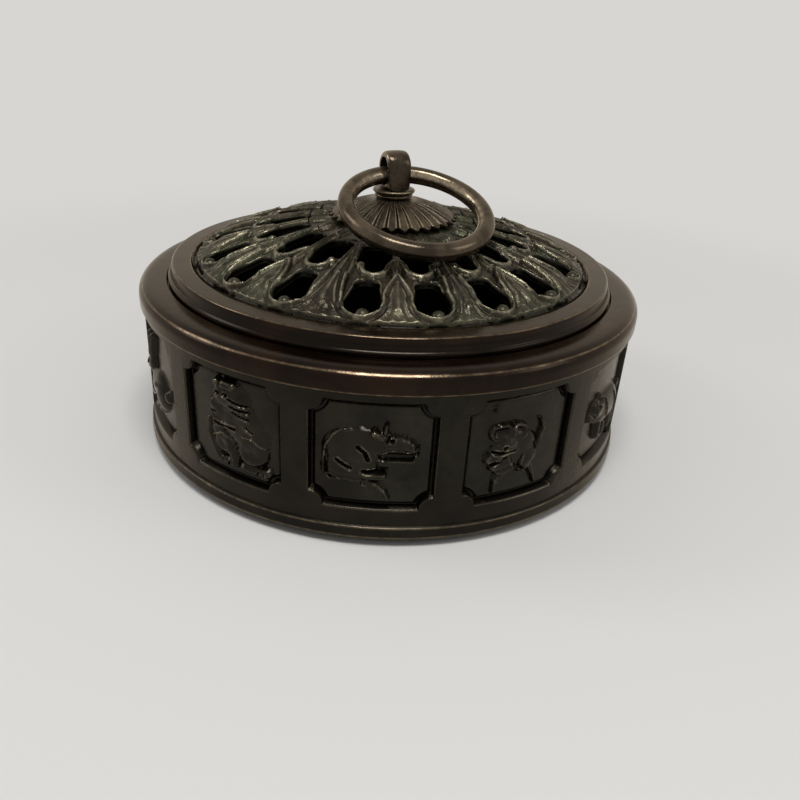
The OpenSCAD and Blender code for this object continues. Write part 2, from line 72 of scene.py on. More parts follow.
def makePiece(name, parts, finish, body, nodes, creaseDeg=38):
    # joins (points in mm, quads, wear and shading) parts into one mesh with outward normals and an attribute
    # of rubbed metal, painted highlight and painted shade
    points = np.concatenate([p[0] for p in parts])
    starts = np.cumsum([0] + [len(p[0]) for p in parts[:-1]])
    quads = np.concatenate([p[1] + s for p, s in zip(parts, starts)]).astype(np.int32)
    wearAndShading = np.concatenate([np.broadcast_to(p[2], len(p[0])) for p in parts])
    mesh = bpy.data.meshes.new(name)
    mesh.vertices.add(len(points))
    mesh.vertices.foreach_set("co", (points * mm).astype(np.float32).ravel())
    mesh.loops.add(quads.size)
    mesh.loops.foreach_set("vertex_index", quads.ravel())
    mesh.polygons.add(len(quads))
    mesh.polygons.foreach_set("loop_start", np.arange(len(quads), dtype=np.int32) * 4)
    mesh.attributes.new("wearAndShading", "FLOAT", "POINT").data.foreach_set("value", wearAndShading.astype(np.float32))
    mesh.update(calc_edges=True)
    form = bmesh.new()
    form.from_mesh(mesh)
    bmesh.ops.remove_doubles(form, verts=form.verts, dist=weldGap)
    bmesh.ops.recalc_face_normals(form, faces=form.faces)
    form.to_mesh(mesh)
    form.free()
    mesh.polygons.foreach_set("use_smooth", np.ones(len(mesh.polygons), bool))
    mesh.set_sharp_from_angle(angle=math.radians(creaseDeg))
    mesh.materials.append(bronzes[finish])
    piece = bpy.data.objects.new(name, mesh)
    bpy.context.scene.collection.objects.link(piece)
    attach(piece, body)
    if nodes:
        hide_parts(*nodes)
    print("made", name, len(mesh.polygons), "faces")


def closedGrid(points, wearAndShading):
    # grid of points that wraps both ways, as a part for makePiece
    return points.reshape(-1, 3), gridQuads(points.shape[0], points.shape[1], True, True), wearAndShading.ravel()


def circleSteps(count):
    return np.arange(count) / count * 2 * np.pi


def polar(radius, bearing, height):
    # bearing in degrees from the front (-Y) towards +X; x = r sin b, y = -r cos b
    angle = np.radians(bearing)
    return np.stack(np.broadcast_arrays(radius * np.sin(angle), -radius * np.cos(angle), height), -1)


def filletLoop(corners, reach, steps, largestShare=0.48):
    # each corner of a closed outline becomes a quadratic curve that starts and ends at its reach along both
    # sides: (1-t)^2 start + 2 t (1-t) corner + t^2 end
    corners, reach = np.array(corners, float), np.array(reach, float)[:, None]
    ends = []
    for turn in (1, -1):
        side = np.roll(corners, turn, 0) - corners
        length = np.linalg.norm(side, axis=1, keepdims=True)
        ends.append(corners + side / length * np.minimum(reach, length * largestShare))
    start, end = ends
    t = np.linspace(0, 1, steps)[None, :, None]
    curve = (1 - t) ** 2 * start[:, None] + 2 * t * (1 - t) * corners[:, None] + t ** 2 * end[:, None]
    return curve.reshape(-1, 2)


def splitLong(loop, longest):
    # adds points along the sides of a closed outline that are longer than the longest allowed
    after = np.roll(loop, -1, 0)
    counts = np.maximum(1, np.ceil(np.linalg.norm(after - loop, axis=1) / longest).astype(int))
    index = np.repeat(np.arange(len(loop)), counts)
    share = (np.arange(len(index)) - np.repeat(np.cumsum(counts) - counts, counts)) / counts[index]
    return loop[index] + (after - loop)[index] * share[:, None]


def turned(outline, segments, wobble, wearAndShading, waves=(3, 5, 11)):
    # closed outline of (radius, height) carried round the axis; the radius swells inwards by a few slow waves
    bearing = np.arange(segments) / segments * 360
    angle = np.radians(bearing)[:, None]
    swell = sum(np.sin(w * angle + 1.7 * w) for w in waves) / len(waves)
    radius = outline[None, :, 0] - wobble * (1 + swell) / 2
    points = polar(radius, bearing[:, None], outline[None, :, 1])
    return points.reshape(-1, 3), gridQuads(segments, len(outline), True, True), wearAndShading


def clamp(value):
    return np.clip(value, 0, 1)


def bump(value, centre, half):
    # smooth hill: cos squared, one at the centre and zero past its half width
    return np.cos(np.pi / 2 * clamp(np.abs(value - centre) / half)) ** 2


def ridge(value, height, centre, half):
    return height * bump(value, centre, half)


def ramp(value, low, high):
    # smooth step from 0 to 1: t^2 (3 - 2 t)
    t = clamp((value - low) / (high - low))
    return t * t * (3 - 2 * t)


def rounded(share):
    # cross-section of a rounded bar: sqrt(1 - share^2)
    return np.sqrt(clamp(1 - share ** 2))


def ridgeShare(height, scale, reach=2):
    # how far a grid point stands above the mean of its four neighbours at a reach, as a share of a scale
    wide = np.pad(height, reach, mode="reflect")
    middle = slice(reach, -reach)
    around = wide[2 * reach:, middle] + wide[:-2 * reach, middle]
    around = around + wide[middle, 2 * reach:] + wide[middle, :-2 * reach]
    return np.clip((height - around / 4) / scale, -1, 1)


def linearColour(red, green, blue):
    # sRGB 0-255 to linear: ((c + 0.055) / 1.055) ^ 2.4
    c = np.array([red, green, blue]) / 255
    return tuple(np.where(c < 0.04045, c / 12.92, ((c + 0.055) / 1.055) ** 2.4)) + (1.0,)


# Finishes. deep and body: the two browns of the patina; green: verdigris; bare colour: metal rubbed bright on
# crests, which also serves as painted highlight on lit edges and tops; patch and grain: scales of the noises;
# pits: depth of the pitting in metres.
fields = ("deep", "body", "green", "bareAndHighlight", "greenShare", "wearStart", "roughness", "metallic", "patch",
          "grain", "pits")
finishes = {
    "rimBronze": [(16, 8, 5), (36, 20, 12), (44, 44, 32), (132, 112, 88),
                  0.1, 0.55, (0.15, 0.24), 0.72, 45, 900, 3e-5],
    "wallBronze": [(15, 13, 10), (29, 26, 19), (40, 42, 31), (112, 100, 80),
                   0.16, 0.55, (0.16, 0.3), 0.65, 60, 1100, 4e-5],
    "panelBronze": [(15, 13, 10), (33, 30, 23), (44, 48, 36), (92, 84, 68),
                    0.2, 0.55, (0.14, 0.28), 0.6, 90, 1300, 4e-5],
    "openworkBronze": [(24, 21, 15), (62, 57, 43), (68, 76, 55), (124, 118, 98),
                       0.4, 0.5, (0.16, 0.34), 0.6, 110, 1500, 8e-5],
    "bossBronze": [(42, 34, 26), (80, 69, 54), (72, 78, 56), (156, 140, 116),
                   0.24, 0.5, (0.2, 0.36), 0.65, 120, 1500, 5e-5],
    "ringBronze": [(54, 46, 37), (94, 82, 67), (66, 66, 50), (172, 156, 132),
                   0.06, 0.6, (0.14, 0.24), 0.8, 90, 1400, 3e-5],
    "insideBronze": [(14, 12, 9), (26, 22, 17), (36, 38, 28), (70, 60, 48),
                     0.2, 0.8, (0.5, 0.7), 0.4, 70, 700, 1e-4],
}
# dark colour of the painted shade in hollows, gaps and recesses, mixed in where the wear-and-shading value is
# below zero. unevenness: bump depth in pits.
patina = dict(sheenTint=(0.92, 0.82, 0.69, 1.0), paintedShading=(5, 4, 3), unevenness=6, greenGain=1.6, greenOnWorn=0.25,
              patchGloss=0.6, grainGloss=0.4, wornGloss=0.1, greenDull=0.15, leastRubbed=0.35)
# noises: scale of the finish and share of it, detail, roughness, distortion
noises = dict(patches=("patch", 1, 6, 0.6, 0.4), cloud=("patch", 0.37, 4, 0.5, 0.8),
              grain=("grain", 1, 4, 0.65, 0.0), flecks=("grain", 0.35, 3, 0.7, 0.0))
# ranges over which a noise or the wear-and-shading value goes from no share to the full share; hollow: the
# range of the painted shade
shareRange = dict(body=(0.36, 0.66), cloud=(0.42, 0.62), sheltered=0.15, greenFleck=(0.3, 0.6),
                  rubbedFleck=(0.35, 0.65), gloss=(0.3, 0.7), hollow=(-0.5, 0.12))


def addNode(tree, kind, inputs, **settings):
    # new shader node; each input takes a number, a colour, or the output that it is linked to
    node = tree.nodes.new("ShaderNode" + kind)
    for key, value in settings.items():
        setattr(node, key, value)
    for key, value in inputs.items():
        if isinstance(value, (int, float, tuple)):
            node.inputs[key].default_value = value
        else:
            tree.links.new(value, node.inputs[key])
    return node


def newMaterial(name):
    material = bpy.data.materials.new(name)
    material.use_nodes = True
    return material, material.node_tree, material.node_tree.nodes["Principled BSDF"]


def makeBronze(name, row):
    # patina = mix of two browns by patches, verdigris where it is sheltered, bare metal where it is worn and
    # where a highlight is painted, and painted shade where the wear-and-shading value is below zero
    look = dict(zip(fields, row))
    material, tree, shader = newMaterial(name)
    place = addNode(tree, "TexCoord", {}).outputs["Object"]

    def noise(key, share, detail, rough, distortion):
        inputs = {"Scale": look[key] * share, "Detail": detail, "Roughness": rough, "Distortion": distortion}
        return addNode(tree, "TexNoise", {"Vector": place, **inputs}).outputs["Fac"]

    def mapRange(value, low, high, toLow=0.0, toHigh=1.0):
        inputs = {"Value": value, "From Min": low, "From Max": high, "To Min": toLow, "To Max": toHigh}
        return addNode(tree, "MapRange", inputs, interpolation_type="SMOOTHSTEP").outputs["Result"]

    def maths(kind, first, second):
        return addNode(tree, "Math", {0: first, 1: second}, operation=kind).outputs[0]

    def mixColour(share, first, second):
        return addNode(tree, "Mix", {0: share, 6: first, 7: second}, data_type="RGBA").outputs[2]

    wearAndShading = addNode(tree, "Attribute", {}, attribute_name="wearAndShading").outputs["Fac"]
    patches, cloud, grain, flecks = (noise(*row) for row in noises.values())
    p, span = patina, shareRange
    deep, body, green, bareAndHighlight = (linearColour(*look[key]) for key in fields[:4])
    brown = mixColour(mapRange(patches, *span["body"]), deep, body)
    sheltered = mapRange(wearAndShading, span["sheltered"], look["wearStart"], 1.0, p["greenOnWorn"])
    greenPlace = maths("MULTIPLY", mapRange(cloud, *span["cloud"]), sheltered)
    greenFlecks = maths("MULTIPLY", greenPlace, mapRange(flecks, *span["greenFleck"]))
    greenMask = maths("MULTIPLY", greenFlecks, look["greenShare"] * p["greenGain"])
    rubbedFlecks = mapRange(flecks, *span["rubbedFleck"], p["leastRubbed"], 1.0)
    # bare metal share: rubbed metal, and painted highlight where the value was raised on lit edges and tops
    rubbedAndHighlit = maths("MULTIPLY", mapRange(wearAndShading, look["wearStart"], 1.0), rubbedFlecks)
    surface = mixColour(rubbedAndHighlit, mixColour(greenMask, brown, green), bareAndHighlight)
    # painted shade: below zero the value mixes in the dark colour, so hollows, gaps and recesses look shaded
    withPaintedShading = mixColour(mapRange(wearAndShading, *span["hollow"]), linearColour(*p["paintedShading"]), surface)
    patchGloss = maths("MULTIPLY", patches, p["patchGloss"])
    gloss = maths("ADD", patchGloss, maths("MULTIPLY", grain, p["grainGloss"]))
    roughBase = mapRange(gloss, *span["gloss"], *look["roughness"])
    roughWorn = maths("SUBTRACT", roughBase, maths("MULTIPLY", rubbedAndHighlit, p["wornGloss"]))
    roughness = maths("ADD", roughWorn, maths("MULTIPLY", greenMask, p["greenDull"]))
    pitting = addNode(tree, "Bump", {"Strength": 1.0, "Distance": look["pits"], "Height": grain})
    uneven = addNode(tree, "Bump", {"Strength": 1.0, "Distance": look["pits"] * p["unevenness"],
                                    "Height": patches, "Normal": pitting.outputs["Normal"]})
    shader.inputs["Metallic"].default_value = look["metallic"]
    shader.inputs["Specular Tint"].default_value = p["sheenTint"]
    for key, value in (("Base Color", withPaintedShading), ("Roughness", roughness), ("Normal", uneven.outputs["Normal"])):
        tree.links.new(value, shader.inputs[key])
    return material


bronzes = {name: makeBronze(name, row) for name, row in finishes.items()}
print("finishes made")

# Turned pieces: outlines of (radius, height), with the reach of each corner's rounding, where they are worn
# and painted bright, and where painted shade darkens them. longest: side of a face along the outline; wear:
# over the plain parts.
foot = dict(outline=[(66, 6), (66, 0), (70, 0), (74.35, 1.6), (75, 2.9), (74.8, 4.6), (74.75, 5.6), (73.9, 6)],
            reach=[0.3, 0.3, 0.5, 1.2, 0.5, 0.8, 0.3, 0.2], wornAndHighlit=[(75, 2.9), (74.75, 5.6)],
            longest=0.9, segments=288, wobble=0.08, wearAndShading=0.35)
# shoulder: the worn mark at (73.9, 47.6), midway round the rounding, is a painted highlight; the corner marks
# are edge wear that also stands for highlight lines
shoulder = dict(outline=[(66.8, 43.2), (73.8, 43.2), (73.8, 42.5), (74.4, 42.5), (75, 42.9), (75, 46.7),
                         (73.1, 48.35), (70.8, 48.6), (67, 48.6), (67, 47), (63.8, 47), (63.8, 44.6)],
                reach=[0.3, 0.1, 0.1, 0.25, 0.3, 1.3, 1.1, 1.1, 0.35, 0.3, 0.4, 0.8],
                wornAndHighlit=[(75, 42.9), (67, 48.6), (73.9, 47.6)], longest=0.9, segments=320, wobble=0.08, wearAndShading=0.4)
# lid rim: the dark marks paint shade on the lid's outer side, below its top edge
lidRim = dict(outline=[(61, 47), (66.6, 47), (66.6, 49.6), (65.95, 50.1), (65.5, 52.5), (65.1, 53.2),
                       (59.9, 53.2), (59.3, 52.4), (59.3, 50)],
              reach=[0.3, 0.3, 0.35, 0.5, 0.4, 0.5, 0.5, 0.5, 0.3], wornAndHighlit=[(65.1, 53.2), (59.9, 53.2)],
              paintedDark=[(66.6, 48.5), (66.2, 50), (65.7, 51.3)], longest=0.9, segments=320, wobble=0.08, wearAndShading=0.4)
collarTurn = dict(outline=[(2.1, 71.22), (5.3, 71.22), (5.75, 71.9), (5.2, 72.35), (5.9, 72.6), (6.3, 73.0),
                           (6.25, 73.4), (5.8, 73.62), (2.1, 73.62)],
                  reach=[0.1, 0.2, 0.3, 0.25, 0.2, 0.3, 0.3, 0.3, 0.1], wornAndHighlit=[(5.75, 71.9), (6.25, 73.4)],
                  longest=0.6, segments=96, wobble=0.02, wearAndShading=0.4)
turnedWearAndShading = dict(edge=0.85, edgeReach=0.7, paintedDark=0.7, paintedDarkReach=1.6, cornerSteps=9)


def turnedPiece(name, shape, finish, body, node):
    # outline rounded, split and carried round; worn and painted bright near the listed corners, painted shade
    # near the listed dark places
    w = turnedWearAndShading
    loop = splitLong(filletLoop(shape["outline"], shape["reach"], w["cornerSteps"]), shape["longest"])
    far = [(0, 0)]
    toCorner, toPaintedDark = (np.linalg.norm(loop[:, None] - np.array(marks)[None], axis=2).min(1)
                        for marks in (shape["wornAndHighlit"], shape.get("paintedDark", far)))
    plain = shape["wearAndShading"]
    wearAndShading = plain + (w["edge"] - plain) * bump(toCorner, 0, w["edgeReach"])
    wearAndShading = wearAndShading - ridge(toPaintedDark, w["paintedDark"], 0, w["paintedDarkReach"])
    part = turned(loop, shape["segments"], shape["wobble"], np.tile(wearAndShading, shape["segments"]))
    makePiece(name, [part], finish, body, [node])


turnedPiece("footRing", foot, "wallBronze", "bowl", "foot_ring")
turnedPiece("shoulderRim", shoulder, "rimBronze", "bowl", "shoulder_rim")
turnedPiece("lidRim", lidRim, "rimBronze", "lid", "lid_frame")
turnedPiece("eyeCollar", collarTurn, "bossBronze", "lid", "collar")

# Pierced lid field: half units from a slot's middle to a stem's middle, laid on the dome.
dome = dict(radius=147.0, edgeRadius=59.3, edgeHeight=53.2, thickness=1.7, hubRadius=16.5,
            hubStart=(19.0, 21.0))
# bearings of the slots in front, as seen; as many more are spread evenly behind
frontSlots = [-89.6, -67.8, -48.3, -28.6, -7.0, 12.4, 31.0, 51.2, 72.2]
backGap = (360 + frontSlots[0] - frontSlots[-1]) / (len(frontSlots) + 1)
slotBearings = np.array(frontSlots + [frontSlots[-1] + backGap * (k + 1) for k in range(len(frontSlots))])
slotShape = dict(innerAt=46.4, innerRadius=3.2, outerAt=51.7, outerRadius=4.5)
slotStart = slotShape["innerAt"] - slotShape["innerRadius"]
slotEnd = slotShape["outerAt"] + slotShape["outerRadius"]
# start and end: radii that the openings span, rounded over their caps; blend: where the sides meet the cup
openingShape = dict(start=25.5, end=40.85, startCap=2, endCap=0.5, blendLong=(35.8, 37.6),
                    blendShort=(33.0, 38.2))
cupShape = dict(at=38.4, shift=-0.7, radius=2.5, bar=0.8, barHeight=1.15, barLong=(37.0, 38.2),
                barShort=(32.5, 35.5), tip=(2.9, 37.9), tipRadius=1.3, tipHeight=1.35)
# half widths of the stems over the radius: between the inner openings, and below them between the slots
stemShape = dict(longRadii=[25, 30, 35, 38.5, 41], long=[1.2, 1.5, 2.2, 2.8, 3.1], short=1.2)
stemOutline = dict(radii=[42.0, 44.0, 47.0, 50.5], long=[3.0, 3.2, 3.7, 4.6], short=[0.5, 1.9, 3.5, 4.6],
                   least=0.3)


def domeHeight(radius):
    # z of the dome at a radius: edge height + sqrt(R^2 - r^2) - sqrt(R^2 - edge^2)
    rise = math.sqrt(dome["radius"] ** 2 - dome["edgeRadius"] ** 2)
    return dome["edgeHeight"] + np.sqrt(dome["radius"] ** 2 - radius ** 2) - rise


def slotHalf(r):
    # half width of a slot: cubed-circle inner end, straight flare, round outer end
    s = slotShape
    inner = s["innerRadius"] * clamp(1 - clamp((s["innerAt"] - r) / s["innerRadius"]) ** 3) ** (1 / 3)
    share = clamp((r - s["innerAt"]) / (s["outerAt"] - s["innerAt"]))
    flare = s["innerRadius"] + (s["outerRadius"] - s["innerRadius"]) * share
    outer = s["outerRadius"] * rounded(clamp((r - s["outerAt"]) / s["outerRadius"]))
    return np.where(r < s["innerAt"], inner, np.where(r > s["outerAt"], outer, flare))


def stemHalf(r, long):
    # half width of the metal beside an inner opening: a stem that widens outwards, or a slim shaft
    if not long:
        return np.full_like(r, stemShape["short"])
    return np.interp(r, stemShape["longRadii"], stemShape["long"])


def openingHalf(r, halfArc, long):
    # half width of an inner opening: along the stem, then round inside the scroll cup
    o, c = openingShape, cupShape
    side = halfArc - stemHalf(r, long)
    reach = np.sqrt(np.clip(c["radius"] ** 2 - np.clip(r - c["at"], 0, None) ** 2, 0, None))
    cup = (c["shift"] if long else -c["shift"]) + reach
    half = side + (cup - side) * ramp(r, *o["blendLong" if long else "blendShort"])
    start = rounded(clamp((o["start"] + o["startCap"] - r) / o["startCap"]))
    end = rounded(clamp((r - o["end"] + o["endCap"]) / o["endCap"]))
    return np.clip(half * start * end, 0, None)


def slotDistance(x, r):
    # distance outside the slot's outline
    s = slotShape
    inner = (x ** 3 + np.clip(s["innerAt"] - r, 0, None) ** 3) ** (1 / 3) - s["innerRadius"]
    outer = np.hypot(x, r - s["outerAt"]) - s["outerRadius"]
    return np.where(r > s["outerAt"], outer, np.where(r < s["innerAt"], inner, x - slotHalf(r)))


# Relief between the slots. Ribs are (height, distance in from an edge, half width); spans are radii or
# distances over which a form rises or fades.
footForm = dict(spread=(50.0, 52.5), trunk=1.25, trunkFade=(52.5, 56.5), edgeRib=(0.75, 0.8, 0.8),
                edgeGroove=(0.4, 1.85, 0.6), spreadLoss=0.4, sideRib=(0.16, 2.7, 0.6), sideSpan=(0.5, 1.3),
                crest=0.42, crestRadii=[42, 46, 54], crestHalf=[0.8, 1.1, 1.3], crestFade=(54.5, 56.8),
                rays=15, raysFrom=50.0, grains=(3.9, 4.3), fanSide=(2.4, 3.2), fanSpan=(53.2, 55.0),
                fan=(0.18, 0.26, 0.14), festoon=(0.7, 1.05, 0.65), festoonSpan=(53.5, 55.5),
                bridge=(0.22, 0.5, 0.5), edgeSpan=(-0.1, 0.5), power=0.8)


def footHeight(x, r, s, long, seed):
    # stems between the slots: rounded trunk with ribs along its edges, fans at its foot, festoons round slots
    f = footForm
    toSlot = slotDistance(x, r)
    outline = np.interp(r, stemOutline["radii"], stemOutline["long" if long else "short"])
    trunkHalf = np.minimum(outline, np.maximum(x + s - slotHalf(r), stemOutline["least"]))
    spread = ramp(r, *f["spread"])
    toEdge = (trunkHalf - s) * (1 - spread) + toSlot * spread
    trunk = f["trunk"] * rounded(clamp(s / trunkHalf)) ** f["power"] * (1 - ramp(r, *f["trunkFade"]))
    edgeRib = ridge(toEdge, *f["edgeRib"]) - ridge(toEdge, *f["edgeGroove"])
    sideRib = ridge(toEdge, *f["sideRib"]) * ramp(s, *f["sideSpan"])
    crestHalf = np.interp(r, f["crestRadii"], f["crestHalf"])
    crest = ridge(s, f["crest"], 0, crestHalf) * (1 - ramp(r, *f["crestFade"]))
    rays = 0.5 + 0.5 * np.sin(s / np.maximum(r - f["raysFrom"], 1.0) * f["rays"] + seed)
    grains = 0.5 + 0.5 * np.sin(f["grains"][0] * s + seed) * np.sin(f["grains"][1] * r + 2.0 * seed)
    plain, grainy, rayed = f["fan"]
    rays = plain + grainy * rays * grains + rayed * rays
    fan = ramp(toSlot, *f["fanSide"]) * ramp(r, *f["fanSpan"]) * rays
    festoon = ridge(toSlot, *f["festoon"]) * ramp(r, *f["festoonSpan"])
    height = trunk + edgeRib * (1 - f["spreadLoss"] * spread) + sideRib + crest + fan + festoon
    bridge = ridge(toSlot, *f["bridge"])
    onStem = ramp(toEdge, *f["edgeSpan"])
    return np.where(toEdge < 0, bridge, height) * onStem + bridge * (1 - onStem)


crownForm = dict(widening=0.9, before=4, after=2, power=0.8, edgeSpan=(-0.1, 0.4), shaftCrest=(0.25, 0, 0.5),
                 crest=(0.3, 0, 0.55), rib=(0.22, -0.75, 0.5), groove=(0.3, -1.4, 0.45), farOff=9.0)


def crownHeight(x, r, s, edge, long):
    # stems and shafts between the inner openings, and the scroll cups that close the openings' outer ends
    c, o, f = cupShape, openingShape, crownForm
    half = stemHalf(r, long) + f["widening"] * (1 - ramp(r, o["start"] - f["before"], o["start"] + f["after"]))
    pastStem = s - half
    trunk = rounded(clamp(s / half)) ** f["power"]
    if long:
        ribs = ridge(s, *f["crest"]) + ridge(pastStem, *f["rib"]) - ridge(pastStem, *f["groove"])
    else:
        ribs = ridge(s, *f["shaftCrest"])
    inner = (trunk + ribs) * (1 - ramp(pastStem, *f["edgeSpan"]))
    signed = x if long else -x
    toCup = np.hypot(signed - c["shift"], r - c["at"]) - c["radius"]
    toOpening = np.where(r > c["at"], toCup, np.where(r < o["start"], f["farOff"], x - edge))
    bar = c["barHeight"] * rounded(clamp(np.abs(toOpening - c["bar"]) / c["bar"]))
    bar = bar * ramp(r, *c["barLong" if long else "barShort"])
    toTip = np.hypot(signed - c["tip"][0], r - c["tip"][1])
    tip = c["tipHeight"] * rounded(clamp(toTip / c["tipRadius"]))
    return np.maximum(inner, np.maximum(bar, tip)), toOpening


# rim: radii over which the relief sinks to the rim; gap: radii of the groove beside it; near: from a slot
fieldForm = dict(middle=42.2, footSpan=(42.0, 43.2), gapIn=(57.75, 58.15), gapOut=(59.05, 59.25),
                 near=(2.9, 4.2), rim=(57.8, 58.2), rimLoss=(0.6, 0.4), gapDepth=(0.9, 0.9), lipReach=0.5,
                 lipDepth=0.7)


def unitHeight(x, r, s, edge, long, seed):
    # height over the dome; x from the slot's middle, s from the stem's middle
    o, f = openingShape, fieldForm
    crown, toOpening = crownHeight(x, r, s, edge, long)
    outside = ramp(r, *f["footSpan"])
    height = crown * (1 - outside) + footHeight(x, r, s, long, seed) * outside
    toSlot = slotDistance(x, r)
    gap = ramp(r, *f["gapIn"]) * (1 - ramp(r, *f["gapOut"]))
    nearSlot = 1 - ramp(toSlot, *f["near"])
    height = height * (1 - ramp(r, *f["rim"]) * (f["rimLoss"][0] + f["rimLoss"][1] * nearSlot))
    height = height - gap * (f["gapDepth"][0] + f["gapDepth"][1] * nearSlot)
    height = height * ramp(r, *dome["hubStart"])
    beforeStart = np.where(r > o["start"] - 1, o["start"] - r, crownForm["farOff"])
    opening = np.where(r >= f["middle"], toSlot, np.where(r > o["start"], toOpening, beforeStart))
    lip = np.clip(opening, 0, f["lipReach"]) / f["lipReach"]
    return height - f["lipDepth"] * (1 - rounded(1 - lip))


def spacedRows(start, end, count):
    # rows that crowd at both ends: r = middle - half * cos(t)
    return (start + end) / 2 - (end - start) / 2 * np.cos(np.linspace(0, np.pi, count))


# crowding: power that draws columns to the slot's edge; crease, height: shares of wear and painted highlight
# on crests, and of painted shade in creases; and the depths below the dome that fill with painted shade
openworkGrid = dict(columns=25, crowding=1.1, seedStep=1.3, rough=0.05, roughWaves=(5, 3.7), highest=2.0,
                    wearAndShading=0.22, crease=0.5, creaseScale=0.13, height=0.16, paintedShading=1.2, paintedShadingSpan=(0.3, 0.9),
                    wornSpan=(20, 27), rowCounts=(12, 34, 7, 40, 16), rimOverlap=0.1)


def openworkUnits(indices, rows):
    # two mirrored halves for each slot, from the slot's middle to the stems on both sides
    g, o = openworkGrid, openingShape
    share = np.linspace(0, 1, g["columns"]) ** g["crowding"]
    quads = gridQuads(len(rows), g["columns"])
    tops, unders, wearsAndShading, faces = [], [], [], []
    bridges = (rows <= o["start"]) | ((rows >= o["end"]) & (rows <= slotStart)) | (rows >= slotEnd)
    for k in indices:
        for direction in (-1, 1):
            bearing = slotBearings[k]
            neighbour = slotBearings[(k + direction) % len(slotBearings)]
            halfArc = rows * math.radians(((neighbour - bearing) * direction) % 360 / 2)
            stem = k if direction > 0 else (k - 1) % len(slotBearings)
            long = stem % 2 == 1
            edge = np.where(rows < slotStart, openingHalf(rows, halfArc, long), slotHalf(rows))
            edge = np.where(bridges, 0, edge)
            x = edge[:, None] + (halfArc - edge)[:, None] * share[None, :]
            r = np.repeat(rows[:, None], g["columns"], 1)
            height = unitHeight(x, r, halfArc[:, None] - x, edge[:, None], long, stem * g["seedStep"])
            at = bearing + direction * np.degrees(x / r)
            waveX, waveR = g["roughWaves"]
            rough = g["rough"] * np.sin(waveX * x + stem) * np.sin(waveR * r + 2 * k)
            rough = rough * bump(x, halfArc[:, None] / 2, halfArc[:, None] / 2)
            tops.append(polar(r, at, domeHeight(r) + np.minimum(height + rough, g["highest"])).reshape(-1, 3))
            unders.append(polar(r, at, domeHeight(r) - dome["thickness"]).reshape(-1, 3))
            # crests lighter, wear and painted highlight; creases and the parts sunk below the dome (rim gap,
            # lips of the openings) darker, painted shade
            wearAndShading = g["wearAndShading"] + g["crease"] * ridgeShare(height, g["creaseScale"]) + g["height"] * height
            wearAndShading = wearAndShading - g["paintedShading"] * ramp(-height, *g["paintedShadingSpan"])
            wearsAndShading.append(np.clip(wearAndShading * ramp(r, *g["wornSpan"]), -1, 1).ravel())
            faces.append(quads[:, ::direction] + len(faces) * r.size)
    points, under, wearAndShading = np.concatenate(tops), np.concatenate(unders), np.concatenate(wearsAndShading)
    first, welded = weld(points, np.concatenate(faces), places=3)
    solid, solidFaces = closeSheet(points[first], welded, under[first])
    return solid, solidFaces, np.concatenate([wearAndShading[first], wearAndShading[first] * 0])


def buildOpenwork():
    o = openingShape
    hub, inner, bridge, outer, rim = openworkGrid["rowCounts"]
    rows = np.concatenate([np.linspace(dome["hubRadius"], o["start"], hub)[:-1],
                           spacedRows(o["start"], o["end"], inner)[:-1],
                           np.linspace(o["end"], slotStart, bridge)[:-1],
                           spacedRows(slotStart, slotEnd, outer)[:-1],
                           np.linspace(slotEnd, dome["edgeRadius"] + openworkGrid["rimOverlap"], rim)])
    count = len(frontSlots)
    for side, start, nodes in (("front", 0, ["lid_openwork"]), ("back", count, [])):
        unit = openworkUnits(range(start, start + count), rows)
        makePiece("openwork." + side, [unit], "openworkBronze", "lid", nodes, creaseDeg=50)


buildOpenwork()

# Beads in the slots: small balls that stand over the dome, a little off the slots' middles.
bead = dict(radius=2.0, at=55.1, above=1.0, turn=0.6, turns=24, rings=14, wearAndShading=0.5)


def ball(centre):
    # centre + radius * (sin v cos u, sin v sin u, cos v)
    u = circleSteps(bead["turns"])[:, None]
    v = np.linspace(0, np.pi, bead["rings"])[None, :]
    shape = np.stack(np.broadcast_arrays(np.sin(v) * np.cos(u), np.sin(v) * np.sin(u), np.cos(v)), -1)
    points = centre + shape * bead["radius"]
    return points.reshape(-1, 3), gridQuads(bead["turns"], bead["rings"], True), bead["wearAndShading"]


def buildBeads():
    middle = domeHeight(bead["at"]) + bead["above"] - bead["radius"]
    places = polar(bead["at"], slotBearings + bead["turn"], middle)
    makePiece("beads", [ball(place) for place in places], "openworkBronze", "lid", [])


buildBeads()

# Boss: petals with a pointed edge, rounded across, veined, and grooved between. lip and floor close it below.
boss = dict(petals=32, steps=16, rings=40, crowding=1.25, radius=19.3, notch=1.9, bottom=64.62, top=71.22,
            rim=1.15, bore=2.1, floor=12.0, groove=0.6, roundShare=0.7, lineShare=0.3, lineHalf=0.3,
            collar=6.0, fade=4, ribVein=(0.2, 0.42, 0.16), midVein=(0.12, 0, 0.22), lipIn=[0.0, 0.1, 0.7, 1.6],
            lipDown=[0.3, 0.55, 0.65, 0.85], overBottom=0.02)
bossWearAndShading = dict(plain=0.3, crease=0.6, creaseScale=0.09, edge=0.3, edgeSpan=(15, 19),
                below=[0.5, 0.1, 0.0, 0.0, 0.0, 0.0])


